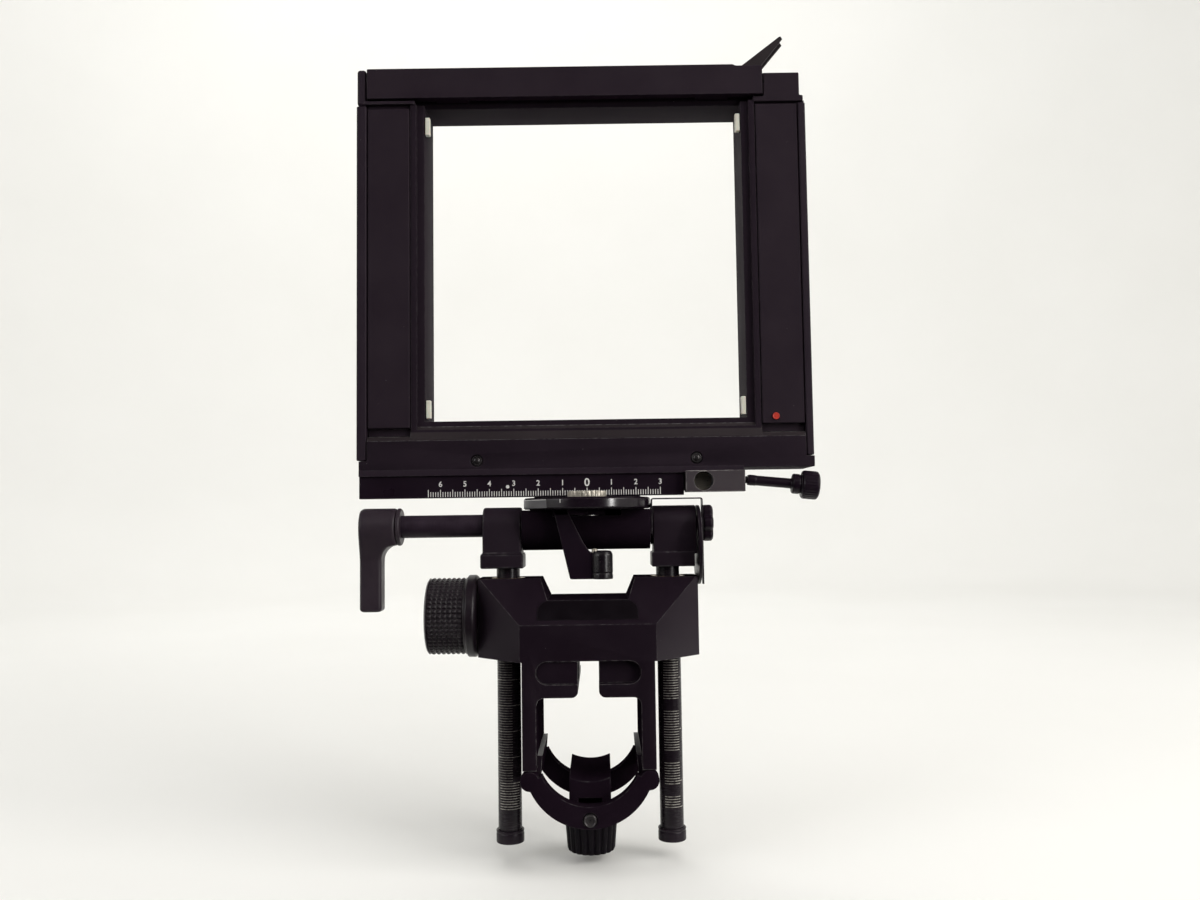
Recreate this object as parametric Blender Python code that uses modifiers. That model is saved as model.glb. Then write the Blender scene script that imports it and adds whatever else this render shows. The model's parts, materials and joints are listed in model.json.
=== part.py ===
"""One standard of a monorail view camera: rail bearer, columns, tilt and swing head, board frame.

Metres, +Z up, +X to the right, the front of the standard towards -Y. The origin is on the axis of
the rail, midway along the bearer. Every moving assembly hangs on an empty on its joint's axis.
"""
import math

import bmesh
import bpy
from mathutils import Matrix, Vector

MM = 0.001

# Clearances
FIT = 0.3 * MM
RUN = 0.4 * MM
CUT_OVER = 5.0 * MM

# Roundness of turned and drilled shapes
STEPS = 32
SMALL_STEPS = 20

# Rail and its clamp
RAIL_RADIUS = 19.2 * MM
RAIL_FLAT_HEIGHT = 12.5 * MM
CHANNEL_SIDE_SPACE = 0.5 * MM
CHANNEL_CORNER = 3.0 * MM
GUIDE_DROP = 9.3 * MM
GUIDE_HEIGHT = 7.2 * MM
GUIDE_PROUD = 1.9 * MM
GUIDE_LOW_PROUD = 1.3 * MM
GUIDE_ROOT = 0.6 * MM
BAIL_CENTRE_DROP = 7.5 * MM
BAIL_INSIDE_SPACE = 0.4 * MM
BAIL_WIDTH = 8.2 * MM
BAIL_DROP = 3.3 * MM
BAIL_THICKNESS = 5.6 * MM
BAIL_EYE_RADIUS = 3.6 * MM
BAIL_EYE_SKIN = 1.2 * MM
BAIL_PIN_RADIUS = 1.6 * MM
BAIL_PIN_DROP = 17.7 * MM
CROSS_BAR_RADIUS = 4.0 * MM
CROSS_BAR_END_RADIUS = 2.4 * MM
CROSS_BAR_PROUD = 0.6 * MM
CROSS_BAR_IN_BAIL = 4.8 * MM
SHOE_WIDTH = 15.8 * MM
SHOE_SKIRT = 5.8 * MM
SHOE_TRAVEL = 2.0 * MM
SPINDLE_RADIUS = 2.2 * MM
CLAMP_KNOB_RADIUS = 9.9 * MM
CLAMP_KNOB_TAPER = 1.0 * MM
CLAMP_KNOB_HEIGHT = 13.3 * MM
CLAMP_KNOB_SOCKET = 6.0 * MM
CLAMP_KNOB_FLUTES = 14
CLAMP_KNOB_FLUTE_DEPTH = 0.7 * MM

# Bearer casting
BEARER_WIDTH = 86.4 * MM
BEARER_DEPTH = 52.0 * MM
LEG_WALL = 5.3 * MM
BEARER_TOP_SLOPE = 16.6 * MM
LEG_INSET = 0.8 * MM
WING_BOTTOM = 26.1 * MM
WING_HEIGHT = 30.4 * MM
VALLEY_DEPTH = 8.0 * MM
VALLEY_FLOOR_WIDTH = 31.0 * MM
VALLEY_FLARE = 3.0 * MM
SLOT_ABOVE_CHANNEL = 4.9 * MM
SLOT_HEIGHT = 8.6 * MM
SLOT_WIDTH = 39.6 * MM
SLOT_DEPTH = 14.0 * MM
NECK_WIDTH = 7.8 * MM
NECK_ROUND = 2.5 * MM
PLATE_WIDTH = 37.6 * MM
PLATE_HEIGHT = 8.4 * MM
PLATE_THICKNESS = 0.8 * MM
PLATE_PROUD = 0.2 * MM
PLATE_UP_SLOPE = 6.4 * MM

# Columns
COLUMN_FROM_SIDE = 11.3 * MM
COLUMN_RADIUS = 4.65 * MM
BUSH_WALL = 1.55 * MM
COLUMN_BELOW_WING = 71.2 * MM
CAP_RADIUS = 5.5 * MM
CAP_HEIGHT = 5.0 * MM
CAP_FLOOR = 1.4 * MM
CAP_EDGE = 0.7 * MM

# Rise lock
RISE_LOCK_HEIGHT = 41.6 * MM
RISE_KNOB_RADIUS = 15.1 * MM
RISE_KNOB_LENGTH = 15.7 * MM
RISE_FLANGE_RADIUS = 16.2 * MM
RISE_FLANGE_LENGTH = 4.2 * MM
RISE_KNOB_EDGE = 1.0 * MM
RISE_KNOB_DISH_WALL = 3.6 * MM
RISE_KNOB_DISH = 0.8 * MM
RISE_SPINDLE_RADIUS = 3.9 * MM
RISE_SPINDLE_SOCKET = 6.0 * MM

# Tilt blocks and tilt axis
TILT_ABOVE_WING = 20.8 * MM
BLOCK_INSIDE_COLUMN = 5.7 * MM
BLOCK_WIDTH = 15.3 * MM
BLOCK_RADIUS = 7.2 * MM
BLOCK_STRAIGHT = 12.0 * MM
BLOCK_FOOT_HEIGHT = 4.9 * MM
BLOCK_FOOT_RIM = 0.8 * MM
AXLE_RADIUS = 3.0 * MM
COLUMN_UNDER_AXLE = 2.0 * MM
AXLE_IN_BARREL = 14.0 * MM
SCALE_PLATE_RADIUS = 15.8 * MM
SCALE_PLATE_DROP = 8.6 * MM
SCALE_PLATE_THICKNESS = 1.2 * MM
END_KNOB_RADIUS = 7.75 * MM
END_KNOB_LENGTH = 4.0 * MM
END_KNOB_FLOOR = 1.2 * MM
END_KNOB_LOBES = 6
END_KNOB_LOBE_DEPTH = 1.5 * MM

# Tilt lock lever
LOCK_SHAFT_RADIUS = 4.5 * MM
LOCK_SHAFT_LENGTH = 32.7 * MM
LOCK_HUB_RADIUS = 6.9 * MM
LOCK_HUB_LENGTH = 15.3 * MM
LOCK_HUB_SOCKET = 5.0 * MM
LOCK_ARM_WIDTH = 9.5 * MM
LOCK_ARM_PROUD = 0.9 * MM
LOCK_ARM_DROP = 33.6 * MM
LOCK_ARM_DEPTH = 8.4 * MM
LOCK_ARM_FILLET = 6.0 * MM
LOCK_ARM_EDGE = 1.2 * MM

# Tilt head
BARREL_RADIUS = 10.0 * MM
BARREL_TOP = 3.5 * MM
BARREL_END_GAP = 0.4 * MM
BARREL_SHOULDER_GAP = 5.4 * MM
STRIP_THICKNESS = 0.5 * MM
STRIP_WIDTH = 4.0 * MM
STRIP_FRONT = 9.0 * MM
STRIP_ABOVE_BLOCK = 2.4 * MM
STRIP_RISER = 14.0 * MM
STRIP_DROP = 34.0 * MM
PIVOT_RADIUS = 5.0 * MM
PIVOT_ROOT = 5.5 * MM

# Swing lock lever
LEVER_THICKNESS = 2.1 * MM
LEVER_HUB_RADIUS = 8.0 * MM
LEVER_BLADE_BACK = 13.0 * MM
LEVER_BLADE_THICKNESS = 2.4 * MM
LEVER_BLADE_LEFT = 13.0 * MM
LEVER_BLADE_WIDTH = 8.4 * MM
LEVER_BLADE_LEAN = 6.0 * MM
LEVER_BLADE_LENGTH = 26.9 * MM
LEVER_TIP_RADIUS = 4.1 * MM
LEVER_TIP_LENGTH = 11.0 * MM
LEVER_TIP_EDGE = 0.6 * MM

# Turntable and shift slide
DISC_RADIUS = 25.4 * MM
DISC_THICKNESS = 4.5 * MM
CAP_DISC_RADIUS = 7.9 * MM
CAP_DISC_THICKNESS = 2.4 * MM
CAP_DISC_TEETH = 30
CAP_DISC_TOOTH = 0.3 * MM
CARRIAGE_LENGTH = 44.0 * MM
CARRIAGE_DEPTH = 16.0 * MM
CARRIAGE_HEIGHT = 7.7 * MM
CARRIAGE_FLOOR = 2.2 * MM
RAIL_HEAD_WIDTH = 10.0 * MM
RAIL_HEAD_HEIGHT = 2.9 * MM
RAIL_STEM_WIDTH = 6.0 * MM
SHIFT_LEFT = 30.0 * MM
SHIFT_RIGHT = 60.0 * MM
SHIFT_RAIL_SPARE = 2.0 * MM

# Board frame
FRAME_FRONT = 6.0 * MM
FRAME_DEPTH = 27.0 * MM
FRAME_WIDTH = 186.8 * MM
FRAME_ABOVE_DISC = 11.8 * MM
BASE_BAR_HEIGHT = 14.4 * MM
BASE_BAR_STEP = 4.4 * MM
UPRIGHT_WIDTH = 17.6 * MM
TOP_RAIL_HEIGHT = 15.0 * MM
UPRIGHT_BACK = 1.2 * MM
RIM_WIDTH = 3.0 * MM
RIM_BACK = 0.6 * MM
RIM_ROUND = 2.0 * MM
LEFT_RIM_ABOVE = 2.2 * MM
FRAME_HEIGHT = 166.7 * MM
SEAT_MARGIN_SIDE = 5.6 * MM
SEAT_MARGIN_BOTTOM = 6.0 * MM
SEAT_MARGIN_TOP = 4.2 * MM
SEAT_ABOVE_UPRIGHT = 7.0 * MM
SEAT_LIP = 2.5 * MM
SEAT_LIP_BACK = 1.6 * MM
SEAT_RECESS = 1.7 * MM
TOP_SHELF = 2.4 * MM
SHELF_BACK = 3.0 * MM
TOP_RAIL_BACK = 8.0 * MM
SCREW_SPACING = 90.0 * MM
SCREW_UP = 4.1 * MM
SCREW_HEAD_RADIUS = 2.2 * MM
SCREW_HEAD_HEIGHT = 1.4 * MM
SCREW_SHANK_RADIUS = 1.2 * MM
SCREW_LENGTH = 7.0 * MM
SCREW_SUNK = 0.2 * MM
PAD_THICKNESS = 2.0 * MM
PAD_HEIGHT = 7.6 * MM
PAD_DEPTH = 6.0 * MM
PAD_FROM_TOP = 5.0 * MM
PAD_FROM_BOTTOM = 1.3 * MM
DOT_RADIUS = 1.6 * MM
DOT_THICKNESS = 0.5 * MM
DOT_UP = 6.2 * MM
DOT_FROM_INSIDE = 5.6 * MM

# Shift scale bar and rod socket
SCALE_BAR_THICKNESS = 4.0 * MM
SCALE_BAR_HEIGHT = 10.7 * MM
SCALE_BAR_BACK = 1.0 * MM
SCALE_BAR_RIGHT = 39.7 * MM
SOCKET_WIDTH = 24.2 * MM
SOCKET_DEPTH = 8.0 * MM
SOCKET_HEIGHT = 9.6 * MM
SOCKET_GAP = 0.5 * MM
SOCKET_BORE_RADIUS = 3.9 * MM
SOCKET_BORE_IN = 7.3 * MM
SOCKET_ROUND = 1.5 * MM
THUMB_SLOPE = math.radians(5.6)
THUMB_SCREW_RADIUS = 1.5 * MM
THUMB_SCREW_IN = 11.0 * MM
THUMB_NECK = 1.2 * MM
THUMB_SHANK_RADIUS = 2.2 * MM
THUMB_SHANK_LENGTH = 18.4 * MM
THUMB_COLLAR_RADIUS = 3.1 * MM
THUMB_COLLAR_LENGTH = 1.7 * MM
THUMB_FLARE_RADIUS = 5.2 * MM
THUMB_FLARE_LENGTH = 2.0 * MM
THUMB_KNOB_RADIUS = 5.8 * MM
THUMB_KNOB_LENGTH = 6.0 * MM
THUMB_DOME = 1.2 * MM

# Board retainer
BAR_HEIGHT = 14.5 * MM
BAR_THICKNESS = 4.0 * MM
BAR_PROUD = 0.2 * MM
BAR_PAD_LENGTH = 15.0 * MM
BAR_PAD_HEIGHT = 6.0 * MM
BAR_PAD_FROM_SEAT = 17.2 * MM
BAR_ROUND = 1.0 * MM
CORNER_WIDTH = 14.9 * MM
CORNER_OUT = 1.1 * MM
CORNER_HEIGHT = 10.4 * MM
CORNER_BACK = 1.0 * MM
RETAINER_LEVER_THICKNESS = 3.0 * MM
RETAINER_LEVER_BOSS = 4.0 * MM
RETAINER_LEVER_REACH = 14.3 * MM
RETAINER_LEVER_RISE = 19.6 * MM
RETAINER_LEVER_TIP = 1.2 * MM
RETAINER_PIN_RADIUS = 1.5 * MM
RETAINER_PIN_IN = 5.0 * MM
RETAINER_PIN_FROM_CORNER = 5.2 * MM

# Places worked out from the sizes above
BEARER_HALF = BEARER_WIDTH / 2
BEARER_FRONT = BEARER_DEPTH / 2
CHANNEL_HALF = RAIL_RADIUS + CHANNEL_SIDE_SPACE
LEG_HALF = CHANNEL_HALF + LEG_WALL
FRONT_HALF = LEG_HALF + LEG_INSET
BEARER_CORNER = BEARER_HALF - FRONT_HALF
CHANNEL_TOP = RAIL_FLAT_HEIGHT + RUN
LEG_MIDDLE = (LEG_HALF + CHANNEL_HALF) / 2
LEG_BOTTOM = -BAIL_PIN_DROP + BAIL_EYE_RADIUS + FIT
KNUCKLE_INSET = 0.2 * MM
KNUCKLE_RADIUS = (LEG_HALF - CHANNEL_HALF) / 2 - KNUCKLE_INSET
BAIL_BACK = BEARER_FRONT - BAIL_THICKNESS + FIT
KNUCKLE_HALF_DEPTH = BAIL_BACK - FIT
BAIL_INSIDE = RAIL_RADIUS + BAIL_INSIDE_SPACE
BAIL_OUTSIDE = BAIL_INSIDE + BAIL_WIDTH - BAIL_DROP
CROSS_BAR_DROP = BAIL_CENTRE_DROP + BAIL_INSIDE + CROSS_BAR_IN_BAIL
WING_TOP = WING_BOTTOM + WING_HEIGHT
VALLEY_FLOOR = WING_TOP - VALLEY_DEPTH
TILT_HEIGHT = WING_TOP + TILT_ABOVE_WING
COLUMN_X = BEARER_HALF - COLUMN_FROM_SIDE
BUSH_INSIDE = COLUMN_RADIUS + RUN
BUSH_OUTSIDE = BUSH_INSIDE + BUSH_WALL
BUSH_BORE = BUSH_OUTSIDE + FIT
BLOCK_INNER = COLUMN_X - BLOCK_INSIDE_COLUMN
BLOCK_OUTER = BLOCK_INNER + BLOCK_WIDTH
BLOCK_BOTTOM = TILT_HEIGHT - BLOCK_STRAIGHT - BLOCK_FOOT_HEIGHT
COLUMN_TOP = TILT_HEIGHT - AXLE_RADIUS - FIT - COLUMN_UNDER_AXLE
COLUMN_BOTTOM = WING_BOTTOM - COLUMN_BELOW_WING
SCALE_PLATE_INNER = max(BLOCK_OUTER, BEARER_HALF) + RUN
SCALE_PLATE_OUTER = SCALE_PLATE_INNER + SCALE_PLATE_THICKNESS
STRIP_DROP_INNER = SCALE_PLATE_OUTER + RUN
END_KNOB_INNER = STRIP_DROP_INNER + STRIP_THICKNESS + RUN
BARREL_LEFT = BLOCK_INNER - BARREL_END_GAP
BARREL_RIGHT = BARREL_LEFT - FIT - STRIP_THICKNESS
BARREL_TOP_Z = TILT_HEIGHT + BARREL_TOP
LEVER_LOW = BARREL_TOP_Z + FIT
LEVER_HIGH = LEVER_LOW + LEVER_THICKNESS
DISC_LOW = LEVER_HIGH + FIT
DISC_HIGH = DISC_LOW + DISC_THICKNESS
FRAME_BACK = FRAME_FRONT + FRAME_DEPTH
FRAME_HALF = FRAME_WIDTH / 2
FRAME_BOTTOM = DISC_HIGH + FRAME_ABOVE_DISC
FRAME_TOP = FRAME_BOTTOM + FRAME_HEIGHT
BASE_TOP = FRAME_BOTTOM + BASE_BAR_HEIGHT
UPRIGHT_OUTER = FRAME_HALF - RIM_WIDTH - FIT
UPRIGHT_INNER = UPRIGHT_OUTER - UPRIGHT_WIDTH
UPRIGHT_BOTTOM = BASE_TOP + FIT
UPRIGHT_TOP = FRAME_TOP - TOP_RAIL_HEIGHT
SEAT_HALF = UPRIGHT_INNER - FIT
OPENING_HALF = SEAT_HALF - SEAT_MARGIN_SIDE
SEAT_TOP = UPRIGHT_TOP + SEAT_ABOVE_UPRIGHT
OPENING_BOTTOM = UPRIGHT_BOTTOM + SEAT_MARGIN_BOTTOM
OPENING_TOP = SEAT_TOP - SEAT_MARGIN_TOP
SEAT_LIP_FRONT = FRAME_FRONT + SEAT_LIP_BACK
SEAT_FACE = SEAT_LIP_FRONT + SEAT_RECESS
SHELF_BOTTOM = UPRIGHT_TOP + FIT
SHELF_TOP = SHELF_BOTTOM + TOP_SHELF
TOP_RAIL_FRONT = FRAME_FRONT + TOP_RAIL_BACK
SCALE_FRONT = FRAME_FRONT + SCALE_BAR_BACK
SCALE_BACK = SCALE_FRONT + SCALE_BAR_THICKNESS
HANG_TOP = FRAME_BOTTOM - FIT
CARRIAGE_FRONT = SCALE_BACK + RUN
CARRIAGE_MIDDLE = CARRIAGE_FRONT + CARRIAGE_DEPTH / 2
CARRIAGE_LOW = DISC_HIGH + FIT
GROOVE_FLOOR = CARRIAGE_LOW + CARRIAGE_FLOOR
SOCKET_LEFT = SCALE_BAR_RIGHT + SOCKET_GAP
SOCKET_RIGHT = SOCKET_LEFT + SOCKET_WIDTH
SOCKET_BACK = SCALE_BACK
SOCKET_MIDDLE = SOCKET_BACK - SOCKET_DEPTH / 2
SOCKET_MIDDLE_Z = HANG_TOP - SOCKET_HEIGHT / 2
BAR_FRONT = FRAME_FRONT - BAR_PROUD
BAR_BACK = BAR_FRONT + BAR_THICKNESS
BAR_BOTTOM = SHELF_TOP + FIT
CORNER_RIGHT = UPRIGHT_OUTER + CORNER_OUT
CORNER_LEFT = CORNER_RIGHT - CORNER_WIDTH
LEVER_PIVOT_X = CORNER_LEFT - RETAINER_PIN_FROM_CORNER
LEVER_PIVOT_Z = (SEAT_TOP + FIT + FRAME_TOP) / 2
RETAINER_LEVER_FRONT = BAR_BACK + FIT
RETAINER_LEVER_BACK = RETAINER_LEVER_FRONT + RETAINER_LEVER_THICKNESS

# Finishes: colour, roughness, metallic
BLACK_PAINT = ((0.014, 0.012, 0.016), 0.45, 0.0)
BLACK_ANODISED = ((0.018, 0.016, 0.021), 0.35, 0.6)
BLACK_PLASTIC = ((0.012, 0.012, 0.013), 0.5, 0.0)
BRIGHT_STEEL = ((0.55, 0.54, 0.52), 0.25, 1.0)
BRONZE = ((0.42, 0.28, 0.13), 0.4, 1.0)
WHITE_NYLON = ((0.85, 0.84, 0.80), 0.5, 0.0)
RED_PAINT = ((0.75, 0.05, 0.04), 0.4, 0.0)

for old in list(bpy.data.objects):
    bpy.data.objects.remove(old, do_unlink=True)

PARTS = bpy.data.collections.new("view_camera_standard")
CUTTERS = bpy.data.collections.new("cutters")
for collection in (PARTS, CUTTERS):
    bpy.context.scene.collection.children.link(collection)

# Places a flat outline's two directions and its thickness on the world axes
PLAN = Matrix(((1, 0, 0, 0), (0, 1, 0, 0), (0, 0, 1, 0), (0, 0, 0, 1)))
FRONT = Matrix(((1, 0, 0, 0), (0, 0, -1, 0), (0, 1, 0, 0), (0, 0, 0, 1)))
SIDE = Matrix(((0, 0, 1, 0), (1, 0, 0, 0), (0, 1, 0, 0), (0, 0, 0, 1)))
DEPTH_AXIS = {"plan": Vector((0, 0, 1)), "front": Vector((0, 1, 0)), "side": Vector((1, 0, 0))}
FLAT_MATRIX = {"plan": PLAN, "front": FRONT, "side": SIDE}


def add_object(name, mesh, collection=PARTS):
    """Links a new object holding the mesh."""
    obj = bpy.data.objects.new(name, mesh)
    collection.objects.link(obj)
    return obj


def from_bmesh(name, bm):
    """Makes an object of a bmesh, its faces outward."""
    bmesh.ops.recalc_face_normals(bm, faces=bm.faces)
    mesh = bpy.data.meshes.new(name)
    bm.to_mesh(mesh)
    bm.free()
    return add_object(name, mesh)


def box(name, low, high):
    """A box between two corners."""
    low, high = Vector(low), Vector(high)
    size = high - low
    bm = bmesh.new()
    place = Matrix.Translation((low + high) / 2) @ Matrix.Diagonal((*size, 1))
    bmesh.ops.create_cube(bm, size=1, matrix=place)
    return from_bmesh(name, bm)


def along(start, direction):
    """The matrix that puts local +Z on a direction, from a start point."""
    turn = Vector(direction).to_track_quat("Z", "Y").to_matrix().to_4x4()
    return Matrix.Translation(start) @ turn


def rod(name, start, end, radius, steps=STEPS):
    """A round bar between two points."""
    start, end = Vector(start), Vector(end)
    bm = bmesh.new()
    place = along((start + end) / 2, end - start)
    bmesh.ops.create_cone(bm, cap_ends=True, segments=steps, radius1=radius, radius2=radius,
                          depth=(end - start).length, matrix=place)
    return from_bmesh(name, bm)


def turned(name, profile, base, direction, steps=STEPS):
    """A turned piece: (radius, height) points from the top down, about a direction from base."""
    mesh = bpy.data.meshes.new(name)
    points = [(radius, 0, height) for radius, height in profile]
    mesh.from_pydata(points, [(i, i + 1) for i in range(len(points) - 1)], [])
    obj = add_object(name, mesh)
    obj.matrix_world = along(base, direction)
    screw = obj.modifiers.new("turn", "SCREW")
    screw.steps = steps
    screw.render_steps = steps
    screw.use_merge_vertices = True
    screw.merge_threshold = 0.00001
    return obj


def flat(name, outline, low, high, view, holes=()):
    """A flat outline, seen in a view, thick from low to high along the view's depth."""
    curve = bpy.data.curves.new(name, "CURVE")
    curve.dimensions = "2D"
    curve.fill_mode = "BOTH"
    curve.extrude = (high - low) / 2
    for points in (outline, *holes):
        spline = curve.splines.new("POLY")
        spline.points.add(len(points) - 1)
        spline.use_cyclic_u = True
        for point, (u, v) in zip(spline.points, points):
            point.co = (u, v, 0, 1)
    drawn = add_object(name + "_outline", curve)
    drawn.matrix_world = Matrix.Translation(DEPTH_AXIS[view] * (low + high) / 2) @ FLAT_MATRIX[view]
    bpy.context.view_layer.update()
    graph = bpy.context.evaluated_depsgraph_get()
    mesh = bpy.data.meshes.new_from_object(drawn.evaluated_get(graph))
    bm = bmesh.new()
    bm.from_mesh(mesh)
    bmesh.ops.remove_doubles(bm, verts=bm.verts, dist=0.000001)
    bmesh.ops.recalc_face_normals(bm, faces=bm.faces)
    bm.to_mesh(mesh)
    bm.free()
    obj = add_object(name, mesh)
    obj.matrix_world = drawn.matrix_world.copy()
    bpy.data.objects.remove(drawn, do_unlink=True)
    return obj


def arc(centre, radius, start, end, steps):
    """Points on an arc, angles in degrees."""
    angles = [math.radians(start + (end - start) * i / steps) for i in range(steps + 1)]
    return [(centre[0] + radius * math.cos(a), centre[1] + radius * math.sin(a)) for a in angles]


def rectangle(left, low, right, high):
    """The four corners of an upright rectangle."""
    return [(left, low), (right, low), (right, high), (left, high)]


def tool(obj):
    """Sets an object aside as a cutter or as stock for a joint shape."""
    PARTS.objects.unlink(obj)
    CUTTERS.objects.link(obj)
    obj.hide_render = True
    obj.display_type = "WIRE"
    return obj


def boolean(target, others, operation):
    """Cuts or joins other shapes on a target."""
    for other in others:
        step = target.modifiers.new(operation.lower(), "BOOLEAN")
        step.operation = operation
        step.solver = "EXACT"
        step.object = tool(other)
    return target


def cut(target, *others):
    """Cuts the other shapes out of the target."""
    return boolean(target, others, "DIFFERENCE")


def join(target, *others):
    """Joins the other shapes to the target as one body."""
    return boolean(target, others, "UNION")


def soften(obj, width, segments=2, angle=50):
    """Rounds the sharp edges of a piece."""
    bevel = obj.modifiers.new("edges", "BEVEL")
    bevel.width = width
    bevel.segments = segments
    bevel.limit_method = "ANGLE"
    bevel.angle_limit = math.radians(angle)
    return obj


def fluted(name, base, direction, bottom, top, height, flutes, depth, per_flute=4):
    """A round knob whose radius dips by depth between its ribs, from radius bottom to top."""
    bm = bmesh.new()
    bmesh.ops.create_cone(bm, cap_ends=True, segments=flutes * per_flute, radius1=bottom,
                          radius2=top, depth=height, matrix=Matrix.Translation((0, 0, height / 2)))
    for vert in bm.verts:
        reach = math.hypot(vert.co.x, vert.co.y)
        dip = depth * (1 - math.cos(flutes * math.atan2(vert.co.y, vert.co.x))) / 2
        vert.co.xy *= (reach - dip) / reach
    obj = from_bmesh(name, bm)
    obj.matrix_world = along(base, direction)
    return obj


def empty(name, place):
    """An empty on a joint's axis, which carries the pieces that move about it."""
    obj = bpy.data.objects.new(name, None)
    obj.empty_display_size = 0.01
    obj.location = place
    PARTS.objects.link(obj)
    return obj


def finish(carrier, look, *pieces):
    """Gives each piece its own material and hangs it on its carrier."""
    colour, roughness, metallic = look
    bpy.context.view_layer.update()
    for piece in pieces:
        material = bpy.data.materials.new(piece.name + "_finish")
        material.use_nodes = True
        shader = material.node_tree.nodes["Principled BSDF"]
        shader.inputs["Base Color"].default_value = (*colour, 1)
        shader.inputs["Roughness"].default_value = roughness
        shader.inputs["Metallic"].default_value = metallic
        piece.data.materials.append(material)
        place = piece.matrix_world.copy()
        piece.parent = carrier
        piece.matrix_parent_inverse = carrier.matrix_world.inverted()
        piece.matrix_world = place


def round_piece(*pieces):
    """Shades round pieces smooth, with their edges kept sharp."""
    for piece in pieces:
        piece.data.shade_smooth()
        piece.data.set_sharp_from_angle(angle=math.radians(40))


def make_bearer():
    """The casting that sits on the rail, its bushes and its blank plate."""
    out = BEARER_HALF
    deep = BEARER_FRONT
    corner = BEARER_CORNER
    plan = [(-out + corner, -deep), (out - corner, -deep), (out, -deep + corner), (out, deep - corner),
            (out - corner, deep), (-out + corner, deep), (-out, deep - corner), (-out, -deep + corner)]
    casting = flat("bearer_casting", plan, LEG_BOTTOM, WING_TOP, "plan")
    for side in (-1, 1):
        far = side * (out + CUT_OVER)
        near = side * LEG_HALF
        cut(casting, box("under_wing", (min(far, near), -deep - CUT_OVER, LEG_BOTTOM - CUT_OVER),
                         (max(far, near), deep + CUT_OVER, WING_BOTTOM)))
        middle = side * LEG_MIDDLE
        pin = (middle, -BAIL_PIN_DROP)
        knuckle = [(middle - KNUCKLE_RADIUS, LEG_BOTTOM + CUT_OVER)]
        knuckle += arc(pin, KNUCKLE_RADIUS, 180, 360, SMALL_STEPS // 2)
        knuckle += [(middle + KNUCKLE_RADIUS, LEG_BOTTOM + CUT_OVER)]
        join(casting, flat("knuckle", knuckle, -KNUCKLE_HALF_DEPTH, KNUCKLE_HALF_DEPTH, "front"))
        cut(casting, rod("bail_pin_bore", (middle, -deep, -BAIL_PIN_DROP),
                         (middle, deep, -BAIL_PIN_DROP), BAIL_PIN_RADIUS + FIT / 2, SMALL_STEPS))
        cut(casting, rod("bush_bore", (side * COLUMN_X, 0, WING_BOTTOM - CUT_OVER),
                         (side * COLUMN_X, 0, WING_TOP + CUT_OVER), BUSH_BORE))
    slope_low = WING_TOP - BEARER_TOP_SLOPE
    for side in (-1, 1):
        over = CUT_OVER
        wedge = [(side * (deep + over), slope_low - over), (side * (deep + over), WING_TOP + over),
                 (side * (deep - BEARER_TOP_SLOPE - over), WING_TOP + over)]
        cut(casting, flat("top_slope", wedge, -out - over, out + over, "side"))
    half = VALLEY_FLOOR_WIDTH / 2
    flare = VALLEY_FLARE * (VALLEY_DEPTH + CUT_OVER) / VALLEY_DEPTH
    valley = [(-half, VALLEY_FLOOR), (half, VALLEY_FLOOR), (half + flare, WING_TOP + CUT_OVER),
              (-half - flare, WING_TOP + CUT_OVER)]
    cut(casting, flat("valley", valley, -deep - CUT_OVER, deep + CUT_OVER, "front"))
    channel_low = -BAIL_PIN_DROP - KNUCKLE_RADIUS - CUT_OVER
    turn = CHANNEL_CORNER
    channel = [(-CHANNEL_HALF, channel_low), (CHANNEL_HALF, channel_low)]
    channel += arc((CHANNEL_HALF - turn, CHANNEL_TOP - turn), turn, 0, 90, 6)
    channel += arc((-CHANNEL_HALF + turn, CHANNEL_TOP - turn), turn, 90, 180, 6)
    cut(casting, flat("rail_channel", channel, -deep - CUT_OVER, deep + CUT_OVER, "front"))
    slot_middle = CHANNEL_TOP + SLOT_ABOVE_CHANNEL + SLOT_HEIGHT / 2
    end = SLOT_WIDTH / 2 - SLOT_HEIGHT / 2
    slot = arc((end, slot_middle), SLOT_HEIGHT / 2, -90, 90, 10)
    slot += arc((-end, slot_middle), SLOT_HEIGHT / 2, 90, 270, 10)
    for low, high in ((-deep - CUT_OVER, -deep + SLOT_DEPTH), (deep - SLOT_DEPTH, deep + CUT_OVER)):
        cut(casting, flat("slot", slot, low, high, "front"))
    half = NECK_WIDTH / 2
    swell = NECK_ROUND
    neck_top = slot_middle + SLOT_HEIGHT / 2 - FIT
    neck = [(half, neck_top), (-half, neck_top)]
    neck += arc((-half - swell, CHANNEL_TOP + swell), swell, 0, -90, 5)
    neck += [(-half - swell, CHANNEL_TOP - turn), (half + swell, CHANNEL_TOP - turn)]
    neck += arc((half + swell, CHANNEL_TOP + swell), swell, 270, 180, 5)
    cut(casting, flat("neck", neck, -deep - CUT_OVER, deep + CUT_OVER, "front"))
    for side in (-1, 1):
        guide = [(CHANNEL_HALF + GUIDE_ROOT, -GUIDE_DROP), (CHANNEL_HALF - GUIDE_PROUD, -GUIDE_DROP),
                 (CHANNEL_HALF - GUIDE_LOW_PROUD, -GUIDE_DROP - GUIDE_HEIGHT),
                 (CHANNEL_HALF, -BAIL_PIN_DROP), (CHANNEL_HALF + GUIDE_ROOT, -BAIL_PIN_DROP)]
        guide = [(side * across, up) for across, up in guide]
        join(casting, flat("rail_guide", guide, -KNUCKLE_HALF_DEPTH, KNUCKLE_HALF_DEPTH, "front"))
    cut(casting, rod("lock_bore", (-out - CUT_OVER, 0, RISE_LOCK_HEIGHT),
                     (-COLUMN_X, 0, RISE_LOCK_HEIGHT), RISE_SPINDLE_RADIUS + FIT))

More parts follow.
